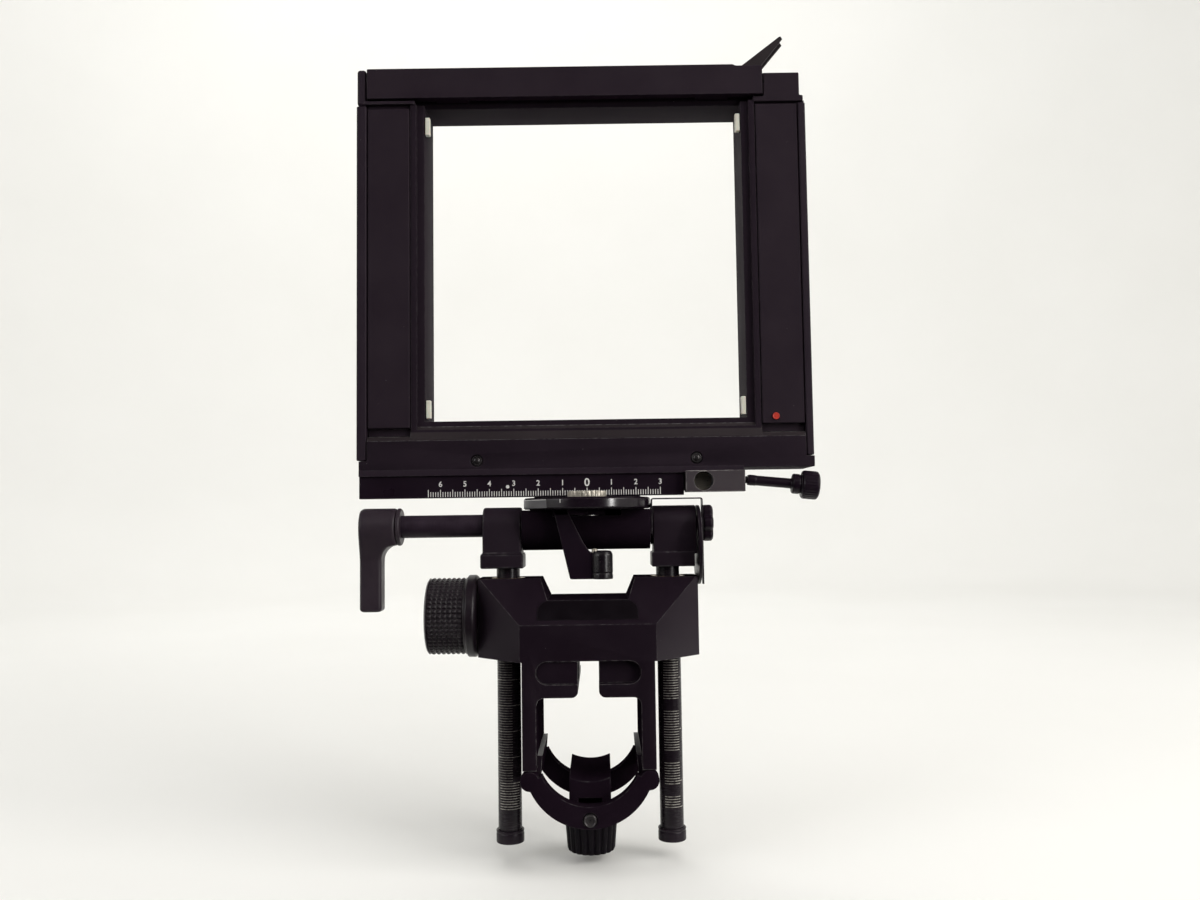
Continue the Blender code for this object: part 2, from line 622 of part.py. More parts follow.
    slope = Matrix.Rotation(math.radians(45), 4, "X")
    seat = Matrix.Translation((0, -deep, slope_low)) @ slope
    half_wide = PLATE_WIDTH / 2
    half_tall = PLATE_HEIGHT / 2
    floor = PLATE_PROUD - PLATE_THICKNESS - FIT
    recess = box("plate_recess", (-half_wide - FIT, PLATE_UP_SLOPE - half_tall - FIT, floor),
                 (half_wide + FIT, PLATE_UP_SLOPE + half_tall + FIT, CUT_OVER))
    recess.matrix_world = seat
    cut(casting, recess)
    plate = box("name_plate", (-half_wide, PLATE_UP_SLOPE - half_tall, floor + FIT),
                (half_wide, PLATE_UP_SLOPE + half_tall, PLATE_PROUD))
    plate.matrix_world = seat

    bushes = []
    for side, name in ((-1, "left_column_bush"), (1, "right_column_bush")):
        bush = rod(name, (side * COLUMN_X, 0, WING_BOTTOM), (side * COLUMN_X, 0, WING_TOP), BUSH_OUTSIDE)
        cut(bush, rod("column_bore", (side * COLUMN_X, 0, WING_BOTTOM - CUT_OVER),
                      (side * COLUMN_X, 0, WING_TOP + CUT_OVER), BUSH_INSIDE))
        bushes.append(bush)
    round_piece(*bushes)
    return casting, plate, bushes


def make_bails():
    """The two bails that reach under the rail, their pins and the cross bar between them."""
    centre = (0, -BAIL_CENTRE_DROP)
    lowered = (0, -BAIL_CENTRE_DROP - BAIL_DROP)
    pin = (LEG_MIDDLE, -BAIL_PIN_DROP)
    inner_end = math.degrees(math.atan2(pin[1] - centre[1], pin[0]))
    outer_end = math.degrees(math.atan2(pin[1] - lowered[1], pin[0]))
    crescent = arc(centre, BAIL_INSIDE, -180 - inner_end, inner_end, STEPS)
    crescent += arc(lowered, BAIL_OUTSIDE, outer_end, -180 - outer_end, STEPS)
    bails = []
    bar_hole = CROSS_BAR_END_RADIUS + FIT
    eye_floor = BAIL_BACK + BAIL_THICKNESS - BAIL_EYE_SKIN
    for side, name in ((-1, "front_bail"), (1, "rear_bail")):
        low, high = sorted((side * BAIL_BACK, side * (BAIL_BACK + BAIL_THICKNESS)))
        bail = flat(name, crescent, low, high, "front")
        for hand in (-1, 1):
            place = hand * LEG_MIDDLE
            join(bail, rod("eye", (place, low, -BAIL_PIN_DROP), (place, high, -BAIL_PIN_DROP),
                           BAIL_EYE_RADIUS))
        for hand in (-1, 1):
            place = hand * LEG_MIDDLE
            cut(bail, rod("eye_hole", (place, side * (BAIL_BACK - CUT_OVER), -BAIL_PIN_DROP),
                          (place, side * eye_floor, -BAIL_PIN_DROP), BAIL_PIN_RADIUS + FIT, SMALL_STEPS))
        cut(bail, rod("bar_hole", (0, low - CUT_OVER, -CROSS_BAR_DROP),
                      (0, high + CUT_OVER, -CROSS_BAR_DROP), bar_hole, SMALL_STEPS))
        bails.append(bail)
    reach = eye_floor - FIT
    pins = []
    for side, name in ((-1, "left_bail_pin"), (1, "right_bail_pin")):
        place = side * LEG_MIDDLE
        pins.append(rod(name, (place, -reach, -BAIL_PIN_DROP), (place, reach, -BAIL_PIN_DROP),
                        BAIL_PIN_RADIUS, SMALL_STEPS))
    end = BAIL_BACK + BAIL_THICKNESS + CROSS_BAR_PROUD
    neck = KNUCKLE_HALF_DEPTH
    profile = [(0, end), (CROSS_BAR_END_RADIUS, end), (CROSS_BAR_END_RADIUS, neck),
               (CROSS_BAR_RADIUS, neck), (CROSS_BAR_RADIUS, -neck), (CROSS_BAR_END_RADIUS, -neck),
               (CROSS_BAR_END_RADIUS, -end), (0, -end)]
    bar = turned("clamp_cross_bar", profile, (0, 0, -CROSS_BAR_DROP), (0, 1, 0), SMALL_STEPS)
    cut(bar, rod("spindle_bore", (0, 0, -CROSS_BAR_DROP - CROSS_BAR_RADIUS - CUT_OVER),
                 (0, 0, -CROSS_BAR_DROP + CROSS_BAR_RADIUS + CUT_OVER), SPINDLE_RADIUS + RUN, SMALL_STEPS))
    round_piece(bar, *pins)
    return bails, pins, bar


def make_clamp_screw():
    """The shoe under the rail, and the spindle and knob that lift it."""
    half = SHOE_WIDTH / 2
    spread = math.degrees(math.asin(half / RAIL_RADIUS))
    bar_top = -CROSS_BAR_DROP + CROSS_BAR_RADIUS
    ceiling = bar_top + RUN + SHOE_TRAVEL
    groove = CROSS_BAR_RADIUS + RUN
    bottom = ceiling - SHOE_SKIRT
    outline = [(-half, bottom), (-groove, bottom), (-groove, ceiling), (groove, ceiling), (groove, bottom),
               (half, bottom)]
    outline += arc((0, 0), RAIL_RADIUS, -90 + spread, -90 - spread, 12)
    depth = KNUCKLE_HALF_DEPTH - FIT
    shoe = flat("clamp_shoe", outline, -depth, depth, "front")
    knob_top = -CROSS_BAR_DROP - CROSS_BAR_RADIUS - SHOE_TRAVEL / 2
    spindle = rod("clamp_spindle", (0, 0, knob_top - CLAMP_KNOB_SOCKET), (0, 0, ceiling - FIT),
                  SPINDLE_RADIUS, SMALL_STEPS)
    knob = fluted("clamp_knob", (0, 0, knob_top - CLAMP_KNOB_HEIGHT), (0, 0, 1),
                  CLAMP_KNOB_RADIUS - CLAMP_KNOB_TAPER, CLAMP_KNOB_RADIUS, CLAMP_KNOB_HEIGHT,
                  CLAMP_KNOB_FLUTES, CLAMP_KNOB_FLUTE_DEPTH)
    cut(knob, rod("knob_socket", (0, 0, knob_top - CLAMP_KNOB_SOCKET - FIT), (0, 0, knob_top + CUT_OVER),
                  SPINDLE_RADIUS + FIT, SMALL_STEPS))
    round_piece(spindle)
    return shoe, spindle, knob


def make_rise_lock():
    """The knurled knob on the left wing and the spindle that presses on the column's bush."""
    face = -BEARER_HALF - RUN
    socket = RISE_SPINDLE_RADIUS + FIT
    flange = RISE_FLANGE_LENGTH
    top = flange + RISE_KNOB_LENGTH
    dish = RISE_KNOB_RADIUS - RISE_KNOB_DISH_WALL
    edge = RISE_KNOB_EDGE
    profile = [(0, top - RISE_KNOB_DISH), (dish, top - RISE_KNOB_DISH), (dish + RISE_KNOB_DISH, top),
               (RISE_KNOB_RADIUS - edge, top), (RISE_KNOB_RADIUS, top - edge),
               (RISE_KNOB_RADIUS, flange + edge), (RISE_FLANGE_RADIUS, flange), (RISE_FLANGE_RADIUS, edge),
               (RISE_FLANGE_RADIUS - edge, 0),
               (socket, 0), (socket, RISE_SPINDLE_SOCKET + FIT), (0, RISE_SPINDLE_SOCKET + FIT)]
    knob = turned("rise_lock_knob", profile, (face, 0, RISE_LOCK_HEIGHT), (-1, 0, 0), 2 * SMALL_STEPS)
    spindle = rod("rise_lock_spindle", (face - RISE_SPINDLE_SOCKET, 0, RISE_LOCK_HEIGHT),
                  (-COLUMN_X - BUSH_OUTSIDE - FIT, 0, RISE_LOCK_HEIGHT), RISE_SPINDLE_RADIUS, SMALL_STEPS)
    round_piece(knob, spindle)
    return knob, spindle


def make_column(side, name):
    """One column with its end cap."""
    place = side * COLUMN_X
    column = rod(name, (place, 0, COLUMN_BOTTOM), (place, 0, COLUMN_TOP), COLUMN_RADIUS)
    floor = COLUMN_BOTTOM - FIT
    low = floor - CAP_FLOOR
    top = low + CAP_HEIGHT
    bore = COLUMN_RADIUS + FIT
    cap = turned(name + "_cap", [(0, floor), (bore, floor), (bore, top), (CAP_RADIUS - CAP_EDGE / 2, top),
                                 (CAP_RADIUS, top - CAP_EDGE / 2), (CAP_RADIUS, low + CAP_EDGE),
                                 (CAP_RADIUS - CAP_EDGE, low), (0, low)], (place, 0, 0), (0, 0, 1))
    round_piece(column, cap)
    return column, cap


def make_tilt_block(side, name):
    """One block on top of a column that holds the tilt axis."""
    inner, outer = sorted((side * BLOCK_INNER, side * BLOCK_OUTER))
    foot_top = BLOCK_BOTTOM + BLOCK_FOOT_HEIGHT
    rim = BLOCK_FOOT_RIM
    stone = [(-BLOCK_RADIUS, foot_top), (BLOCK_RADIUS, foot_top)]
    stone += arc((0, TILT_HEIGHT), BLOCK_RADIUS, 0, 180, SMALL_STEPS)
    stone_end = SCALE_PLATE_INNER - FIT if side > 0 else outer
    block = flat(name, stone, inner, stone_end, "side")
    foot = box("foot", (inner - rim, -BLOCK_RADIUS - rim, BLOCK_BOTTOM),
               (outer + rim, BLOCK_RADIUS + rim, foot_top + rim))
    join(block, foot)
    place = side * COLUMN_X
    cut(block, rod("column_hole", (place, 0, BLOCK_BOTTOM - CUT_OVER), (place, 0, COLUMN_TOP + FIT),
                   COLUMN_RADIUS + FIT))
    cut(block, rod("axle_hole", (inner - CUT_OVER, 0, TILT_HEIGHT), (stone_end + CUT_OVER, 0, TILT_HEIGHT),
                   AXLE_RADIUS + FIT, SMALL_STEPS))
    return block


def make_tilt_scale():
    """The scale plate on the right block, the pin through it and the lobed end knob."""
    centre = (0, TILT_HEIGHT - SCALE_PLATE_DROP)
    plate = flat("tilt_scale_plate", arc(centre, SCALE_PLATE_RADIUS, 0, 350, 35), SCALE_PLATE_INNER,
                 SCALE_PLATE_OUTER, "side",
                 holes=[arc((0, TILT_HEIGHT), AXLE_RADIUS + FIT, 0, 342, SMALL_STEPS - 1)])
    knob = fluted("tilt_end_knob", (END_KNOB_INNER, 0, TILT_HEIGHT), (1, 0, 0), END_KNOB_RADIUS,
                  END_KNOB_RADIUS, END_KNOB_LENGTH, END_KNOB_LOBES, END_KNOB_LOBE_DEPTH, 10)
    socket = END_KNOB_INNER + END_KNOB_LENGTH - END_KNOB_FLOOR
    cut(knob, rod("end_socket", (END_KNOB_INNER - CUT_OVER, 0, TILT_HEIGHT), (socket, 0, TILT_HEIGHT),
                  AXLE_RADIUS + FIT, SMALL_STEPS))
    pin = rod("tilt_pivot_pin", (BARREL_RIGHT - AXLE_IN_BARREL, 0, TILT_HEIGHT),
              (socket - FIT, 0, TILT_HEIGHT), AXLE_RADIUS, SMALL_STEPS)
    round_piece(pin)
    return plate, pin, knob


def make_tilt_lock():
    """The L shaped lever on the left and the shaft that it turns."""
    inner = -BLOCK_OUTER - FIT
    outer = inner - LOCK_SHAFT_LENGTH
    shaft_end = outer - LOCK_HUB_SOCKET
    tip = -BARREL_LEFT + AXLE_IN_BARREL
    profile = [(0, -shaft_end), (LOCK_SHAFT_RADIUS, -shaft_end), (LOCK_SHAFT_RADIUS, -inner),
               (AXLE_RADIUS, -inner), (AXLE_RADIUS, -tip), (0, -tip)]
    shaft = turned("tilt_lock_shaft", profile, (0, 0, TILT_HEIGHT), (-1, 0, 0), SMALL_STEPS)
    hub_left = outer - LOCK_HUB_LENGTH
    hub = rod("tilt_lock_lever", (hub_left, 0, TILT_HEIGHT), (outer, 0, TILT_HEIGHT), LOCK_HUB_RADIUS)
    left = hub_left - LOCK_ARM_PROUD
    right = left + LOCK_ARM_WIDTH
    low = TILT_HEIGHT - LOCK_ARM_DROP
    turn = LOCK_ARM_FILLET
    under = TILT_HEIGHT - LOCK_HUB_RADIUS + LOCK_ARM_EDGE
    arm = [(left, low), (right, low), (right, under - turn)]
    arm += arc((right + turn, under - turn), turn, 180, 90, 6)[1:]
    arm += [(right + turn, TILT_HEIGHT), (left, TILT_HEIGHT)]
    join(hub, flat("arm", arm, -LOCK_ARM_DEPTH / 2, LOCK_ARM_DEPTH / 2, "front"))
    cut(hub, rod("shaft_socket", (shaft_end - FIT, 0, TILT_HEIGHT), (outer + CUT_OVER, 0, TILT_HEIGHT),
                 LOCK_SHAFT_RADIUS + FIT))
    soften(hub, LOCK_ARM_EDGE, 2, 60)
    round_piece(shaft)
    return hub, shaft


def make_tilt_head():
    """The barrel between the blocks, the stud on it and the strip that points at the tilt scale."""
    side = [(BARREL_RADIUS, LEVER_HIGH), (-BARREL_RADIUS, LEVER_HIGH)]
    side += arc((0, TILT_HEIGHT), BARREL_RADIUS, 180, 360, SMALL_STEPS)
    barrel = flat("tilt_barrel", side, -BARREL_LEFT, BARREL_RIGHT, "side")
    shoulder = LEVER_HUB_RADIUS + BARREL_SHOULDER_GAP
    cut(barrel, box("lever_slot", (-shoulder, -BARREL_RADIUS - CUT_OVER, BARREL_TOP_Z),
                    (shoulder, BARREL_RADIUS + CUT_OVER, LEVER_HIGH + CUT_OVER)))
    hole = AXLE_RADIUS + FIT
    cut(barrel, rod("left_axle_hole", (-BARREL_LEFT - CUT_OVER, 0, TILT_HEIGHT),
                    (-BARREL_LEFT + AXLE_IN_BARREL + FIT, 0, TILT_HEIGHT), hole, SMALL_STEPS))
    cut(barrel, rod("right_axle_hole", (BARREL_RIGHT + CUT_OVER, 0, TILT_HEIGHT),
                    (BARREL_RIGHT - AXLE_IN_BARREL - FIT, 0, TILT_HEIGHT), hole, SMALL_STEPS))
    root = TILT_HEIGHT - PIVOT_ROOT
    cut(barrel, rod("pivot_hole", (0, 0, root - FIT), (0, 0, BARREL_TOP_Z + CUT_OVER), PIVOT_RADIUS + FIT))
    pivot = rod("swing_pivot", (0, 0, root), (0, 0, DISC_HIGH - FIT), PIVOT_RADIUS)

    thick = STRIP_THICKNESS
    left = BARREL_RIGHT + FIT
    right = STRIP_DROP_INNER + thick
    top = TILT_HEIGHT + BLOCK_RADIUS + STRIP_ABOVE_BLOCK + thick
    bent = [(left, top - STRIP_RISER), (left + thick, top - STRIP_RISER), (left + thick, top - thick),
            (right - thick, top - thick), (right - thick, top - STRIP_DROP), (right, top - STRIP_DROP),
            (right, top), (left, top)]
    strip = flat("tilt_index_strip", bent, -STRIP_FRONT, -STRIP_FRONT + STRIP_WIDTH, "front")
    round_piece(pivot)
    return barrel, pivot, strip


def make_swing_lock():
    """The flat lever that clamps the swing, bent down in front of the barrel, and its round tip."""
    back = -LEVER_BLADE_BACK
    front = back - LEVER_BLADE_THICKNESS
    left = -LEVER_BLADE_LEFT
    right = left + LEVER_BLADE_WIDTH
    tangent = math.degrees(math.atan2(front, left))
    plan = arc((0, 0), LEVER_HUB_RADIUS, tangent + 100, tangent + 280, SMALL_STEPS)
    plan += [(left, front), (right, front)]
    hub = flat("swing_lock_lever", plan, LEVER_LOW, LEVER_HIGH, "plan")
    low = LEVER_HIGH - LEVER_BLADE_LENGTH
    lean = LEVER_BLADE_LEAN
    blade = [(left, LEVER_HIGH), (left + lean, low), (right + lean, low), (right, LEVER_HIGH)]
    join(hub, flat("blade", blade, front + FIT, back, "front"))
    cut(hub, rod("lever_hole", (0, 0, LEVER_LOW - CUT_OVER), (0, 0, LEVER_HIGH + CUT_OVER),
                 PIVOT_RADIUS + RUN))
    reach = LEVER_TIP_RADIUS
    edge = LEVER_TIP_EDGE
    top = low + LEVER_TIP_LENGTH
    place = (right + lean + reach + FIT, (front + back) / 2, 0)
    tip = turned("swing_lever_tip", [(0, top), (reach - edge, top), (reach, top - edge), (reach, low + edge),
                                     (reach - edge, low), (0, low)], place, (0, 0, 1), SMALL_STEPS)
    round_piece(tip)
    return hub, tip


def make_turntable():
    """The disc that swings on the stud, its serrated cap and the carriage of the shift slide."""
    disc = rod("turntable_disc", (0, 0, DISC_LOW), (0, 0, DISC_HIGH), DISC_RADIUS, 2 * STEPS)
    cut(disc, rod("pivot_bore", (0, 0, DISC_LOW - CUT_OVER), (0, 0, DISC_HIGH + CUT_OVER),
                  PIVOT_RADIUS + FIT))
    cap = fluted("pivot_cap", (0, 0, DISC_HIGH + FIT), (0, 0, 1), CAP_DISC_RADIUS, CAP_DISC_RADIUS,
                 CAP_DISC_THICKNESS, CAP_DISC_TEETH, CAP_DISC_TOOTH)
    wide = CAP_DISC_RADIUS + CUT_OVER
    cut(cap, box("cap_flat", (-wide, SCALE_FRONT - RUN, DISC_HIGH - CUT_OVER),
                 (wide, SCALE_FRONT + wide, DISC_HIGH + CUT_OVER)))
    middle = CARRIAGE_MIDDLE
    half = CARRIAGE_DEPTH / 2
    head = RAIL_HEAD_WIDTH / 2 + FIT
    stem = RAIL_STEM_WIDTH / 2 + FIT
    ceiling = GROOVE_FLOOR + RAIL_HEAD_HEIGHT + 2 * FIT
    top = CARRIAGE_LOW + CARRIAGE_HEIGHT
    right = [(half, CARRIAGE_LOW), (half, top), (stem, top), (stem, ceiling), (head, ceiling),
             (head, GROOVE_FLOOR)]
    groove = [(middle + across, up) for across, up in right]
    groove += [(middle - across, up) for across, up in reversed(right)]
    carriage = flat("shift_carriage", groove, -CARRIAGE_LENGTH / 2, CARRIAGE_LENGTH / 2, "side")
    round_piece(disc)
    return disc, cap, carriage


def make_shift_slide():
    """The T shaped rail under the frame, the scale bar before it and the rod socket beside that."""
    middle = CARRIAGE_MIDDLE
    head = RAIL_HEAD_WIDTH / 2
    stem = RAIL_STEM_WIDTH / 2
    low = GROOVE_FLOOR + FIT
    neck = low + RAIL_HEAD_HEIGHT
    right = [(head, low), (head, neck), (stem, neck), (stem, HANG_TOP)]
    tee = [(middle + across, up) for across, up in right]
    tee += [(middle - across, up) for across, up in reversed(right)]
    spare = CARRIAGE_LENGTH / 2 + SHIFT_RAIL_SPARE
    rail = flat("shift_rail", tee, -spare - SHIFT_RIGHT, spare + SHIFT_LEFT, "side")
    scale = box("shift_scale_bar", (-FRAME_HALF, SCALE_FRONT, HANG_TOP - SCALE_BAR_HEIGHT),
                (SCALE_BAR_RIGHT, SCALE_BACK, HANG_TOP))
    turn = SOCKET_ROUND
    bottom = HANG_TOP - SOCKET_HEIGHT
    outline = [(SOCKET_LEFT, HANG_TOP)]
    outline += arc((SOCKET_LEFT + turn, bottom + turn), turn, 180, 270, 4)
    outline += arc((SOCKET_RIGHT - turn, bottom + turn), turn, 270, 360, 4)
    outline += [(SOCKET_RIGHT, HANG_TOP)]
    bore = (SOCKET_LEFT + SOCKET_BORE_IN, SOCKET_MIDDLE_Z)
    socket = flat("rod_socket_block", outline, SOCKET_BACK - SOCKET_DEPTH, SOCKET_BACK, "front",
                  holes=[arc(bore, SOCKET_BORE_RADIUS, 0, 345, 23)])
    direction = Vector((math.cos(THUMB_SLOPE), 0, -math.sin(THUMB_SLOPE)))
    mouth = Vector((SOCKET_RIGHT, SOCKET_MIDDLE, SOCKET_MIDDLE_Z))
    cut(socket, rod("thumb_hole", mouth - direction * (THUMB_SCREW_IN + FIT), mouth + direction * CUT_OVER,
                    THUMB_SCREW_RADIUS + FIT, SMALL_STEPS))
    neck_end = THUMB_NECK
    shank_end = neck_end + THUMB_SHANK_LENGTH
    collar_end = shank_end + THUMB_COLLAR_LENGTH
    flare_end = collar_end + THUMB_FLARE_LENGTH
    knob_end = flare_end + THUMB_KNOB_LENGTH
    profile = [(0, knob_end + THUMB_DOME)]
    for angle in (70, 50, 30, 0):
        turn = math.radians(angle)
        profile.append((THUMB_KNOB_RADIUS * math.cos(turn), knob_end + THUMB_DOME * math.sin(turn)))
    profile += [(THUMB_FLARE_RADIUS, flare_end), (THUMB_COLLAR_RADIUS, collar_end),
                (THUMB_COLLAR_RADIUS, shank_end), (THUMB_SHANK_RADIUS, shank_end),
                (THUMB_SHANK_RADIUS, neck_end), (THUMB_SCREW_RADIUS, neck_end),
                (THUMB_SCREW_RADIUS, -THUMB_SCREW_IN), (0, -THUMB_SCREW_IN)]
    screw = turned("rod_clamp_screw", profile, mouth, direction, SMALL_STEPS)
    round_piece(screw)
    return rail, scale, socket, screw


def make_frame():
    """The bars, rims and seat ring of the square board frame."""
    low_step = FRAME_BOTTOM + BASE_BAR_STEP
    base = [(-FRAME_HALF, FRAME_BOTTOM), (FRAME_HALF, FRAME_BOTTOM), (FRAME_HALF, low_step),
            (UPRIGHT_OUTER, low_step), (UPRIGHT_OUTER, BASE_TOP), (-UPRIGHT_OUTER, BASE_TOP),
            (-UPRIGHT_OUTER, low_step), (-FRAME_HALF, low_step)]
    base_bar = flat("frame_base_bar", base, FRAME_FRONT, FRAME_BACK, "front")
    pieces = [base_bar]
    rim_low = low_step + FIT
    rim_front = FRAME_FRONT + RIM_BACK
    turn = RIM_ROUND
    for side, name, rim_top in ((-1, "left", FRAME_TOP + LEFT_RIM_ABOVE), (1, "right", UPRIGHT_TOP)):
        rim_side = [(rim_front, rim_low), (FRAME_BACK, rim_low)]
        rim_side += arc((FRAME_BACK - turn, rim_top - turn), turn, 0, 90, 4)
        rim_side += arc((rim_front + turn, rim_top - turn), turn, 90, 180, 4)
        near, far = sorted((side * UPRIGHT_INNER, side * UPRIGHT_OUTER))
        pieces.append(box(name + "_upright", (near, FRAME_FRONT + UPRIGHT_BACK, UPRIGHT_BOTTOM),
                          (far, FRAME_BACK, UPRIGHT_TOP)))
        near, far = sorted((side * (FRAME_HALF - RIM_WIDTH), side * FRAME_HALF))
        pieces.append(flat(name + "_rim", rim_side, near, far, "side"))
    gate = [(-UPRIGHT_OUTER, SHELF_BOTTOM), (-UPRIGHT_INNER, SHELF_BOTTOM), (-UPRIGHT_INNER, SEAT_TOP + FIT),
            (UPRIGHT_INNER, SEAT_TOP + FIT), (UPRIGHT_INNER, SHELF_BOTTOM), (UPRIGHT_OUTER, SHELF_BOTTOM),
            (UPRIGHT_OUTER, FRAME_TOP), (-UPRIGHT_OUTER, FRAME_TOP)]
    top_rail = flat("top_rail", gate, TOP_RAIL_FRONT, FRAME_BACK, "front")
    for near, far in ((-UPRIGHT_OUTER, -UPRIGHT_INNER), (UPRIGHT_INNER, FRAME_HALF)):
        join(top_rail, box("shelf", (near, FRAME_FRONT + SHELF_BACK, SHELF_BOTTOM),
                           (far, FRAME_BACK - FIT, SHELF_TOP)))
    cut(top_rail, rod("lever_pin_hole", (LEVER_PIVOT_X, TOP_RAIL_FRONT - CUT_OVER, LEVER_PIVOT_Z),
                      (LEVER_PIVOT_X, TOP_RAIL_FRONT + RETAINER_PIN_IN + FIT, LEVER_PIVOT_Z),
                      RETAINER_PIN_RADIUS + FIT, SMALL_STEPS))
    pieces.append(top_rail)

    seat = flat("board_seat_ring", rectangle(-SEAT_HALF, UPRIGHT_BOTTOM, SEAT_HALF, SEAT_TOP),
                SEAT_LIP_FRONT, FRAME_BACK, "front",
                holes=[rectangle(-OPENING_HALF, OPENING_BOTTOM, OPENING_HALF, OPENING_TOP)])
    recess = SEAT_HALF - SEAT_LIP
    cut(seat, box("board_recess", (-recess, SEAT_LIP_FRONT - CUT_OVER, UPRIGHT_BOTTOM + SEAT_LIP),
                  (recess, SEAT_FACE, SEAT_TOP + CUT_OVER)))
    cut(seat, box("retainer_space", (-SEAT_HALF - CUT_OVER, SEAT_LIP_FRONT - CUT_OVER, SHELF_TOP),
                  (SEAT_HALF + CUT_OVER, TOP_RAIL_FRONT, SEAT_TOP + CUT_OVER)))
    pieces.append(seat)
    pieces.append(box("corner_block", (CORNER_LEFT, FRAME_FRONT + CORNER_BACK, BAR_BOTTOM),
                      (CORNER_RIGHT, TOP_RAIL_FRONT - FIT, BAR_BOTTOM + CORNER_HEIGHT)))
    return base_bar, pieces


def make_frame_details(base_bar):
    """The screws in the base bar, the white pads in the opening and the red dot."""
    screws = []
    height = FRAME_BOTTOM + SCREW_UP
    head_front = FRAME_FRONT + SCREW_SUNK
    head_back = head_front + SCREW_HEAD_HEIGHT
    for side, name in ((-1, "left_base_screw"), (1, "right_base_screw")):
        place = side * SCREW_SPACING / 2
        cut(base_bar, rod("screw_sink", (place, FRAME_FRONT - CUT_OVER, height),
                          (place, head_back + FIT, height), SCREW_HEAD_RADIUS + FIT, SMALL_STEPS))
        cut(base_bar, rod("screw_hole", (place, FRAME_FRONT, height),
                          (place, head_front + SCREW_LENGTH + FIT, height), SCREW_SHANK_RADIUS + FIT,
                          SMALL_STEPS))
        screw = turned(name, [(0, 0), (SCREW_HEAD_RADIUS, 0), (SCREW_HEAD_RADIUS, -SCREW_HEAD_HEIGHT),
                              (SCREW_SHANK_RADIUS, -SCREW_HEAD_HEIGHT), (SCREW_SHANK_RADIUS, -SCREW_LENGTH),
                              (0, -SCREW_LENGTH)], (place, head_front, height), (0, -1, 0), SMALL_STEPS)
        screws.append(screw)
    pads = []
    front = SEAT_FACE + FIT
    rows = (("upper", OPENING_TOP - PAD_FROM_TOP - PAD_HEIGHT), ("lower", OPENING_BOTTOM + PAD_FROM_BOTTOM))
    for side, hand in ((-1, "left"), (1, "right")):
        near, far = sorted((side * (OPENING_HALF - FIT), side * (OPENING_HALF - FIT - PAD_THICKNESS)))
        for row, low in rows:
            pads.append(box(f"{row}_{hand}_pad", (near, front, low),
                            (far, front + PAD_DEPTH, low + PAD_HEIGHT)))
    face = FRAME_FRONT + UPRIGHT_BACK - FIT
    place = UPRIGHT_INNER + DOT_FROM_INSIDE
    dot = rod("index_dot", (place, face - DOT_THICKNESS, UPRIGHT_BOTTOM + DOT_UP),
              (place, face, UPRIGHT_BOTTOM + DOT_UP), DOT_RADIUS, SMALL_STEPS)
    round_piece(dot, *screws)
    return screws, pads, dot


def make_retainer():
    """The bar that holds the board's upper edge, and the lever with its pin that lifts it."""
    right = CORNER_LEFT - 2 * FIT
    bar = box("retaining_bar", (-UPRIGHT_OUTER, BAR_FRONT, BAR_BOTTOM),
              (right, BAR_BACK, BAR_BOTTOM + BAR_HEIGHT))
    soften(bar, BAR_ROUND)
    middle = (BAR_BOTTOM + SEAT_TOP) / 2
    for side in (-1, 1):
        place = side * (SEAT_HALF - BAR_PAD_FROM_SEAT) - BAR_PAD_LENGTH / 2
        join(bar, box("guide", (place, BAR_BACK - BAR_THICKNESS / 2, middle),
                      (place + BAR_PAD_LENGTH, TOP_RAIL_FRONT - FIT, middle + BAR_PAD_HEIGHT)))
    x, z = LEVER_PIVOT_X, LEVER_PIVOT_Z
    boss = RETAINER_LEVER_BOSS
    tip = (x + RETAINER_LEVER_REACH, z + RETAINER_LEVER_RISE)
    shoulder = BAR_BOTTOM + BAR_HEIGHT - z
    outline = arc((x, z), boss, 170, 350, 14)
    outline += [(x + boss + RETAINER_LEVER_TIP, z + shoulder), tip, (tip[0] - RETAINER_LEVER_TIP, tip[1]),
                (x - boss + RETAINER_LEVER_TIP, z + shoulder)]
    lever = flat("retainer_lever", outline, RETAINER_LEVER_FRONT, RETAINER_LEVER_BACK, "front",
                 holes=[arc((x, z), RETAINER_PIN_RADIUS + FIT, 0, 342, SMALL_STEPS - 1)])
    pin = rod("retainer_lever_pin", (x, RETAINER_LEVER_FRONT, z), (x, TOP_RAIL_FRONT + RETAINER_PIN_IN, z),
              RETAINER_PIN_RADIUS, SMALL_STEPS)
    round_piece(pin)
    return bar, lever, pin


bearer = empty("bearer", (0, 0, 0))
clamp_slide = empty("clamp_slide", (0, 0, -CROSS_BAR_DROP))
rise_lock = empty("rise_lock", (-BEARER_HALF, 0, RISE_LOCK_HEIGHT))
columns = empty("columns", (0, 0, WING_TOP))
tilt_lock = empty("tilt_lock", (-BLOCK_OUTER, 0, TILT_HEIGHT))
tilt_end = empty("tilt_end", (END_KNOB_INNER, 0, TILT_HEIGHT))
tilt_head = empty("tilt_head", (0, 0, TILT_HEIGHT))
swing_lock = empty("swing_lock", (0, 0, LEVER_LOW))
turntable = empty("turntable", (0, 0, DISC_LOW))
board_frame = empty("board_frame", (0, CARRIAGE_MIDDLE, FRAME_BOTTOM))
rod_clamp = empty("rod_clamp", (SOCKET_RIGHT, SOCKET_MIDDLE, SOCKET_MIDDLE_Z))
retainer = empty("retainer", (0, BAR_BACK, BAR_BOTTOM))
retainer_pivot = empty("retainer_pivot", (LEVER_PIVOT_X, RETAINER_LEVER_FRONT, LEVER_PIVOT_Z))

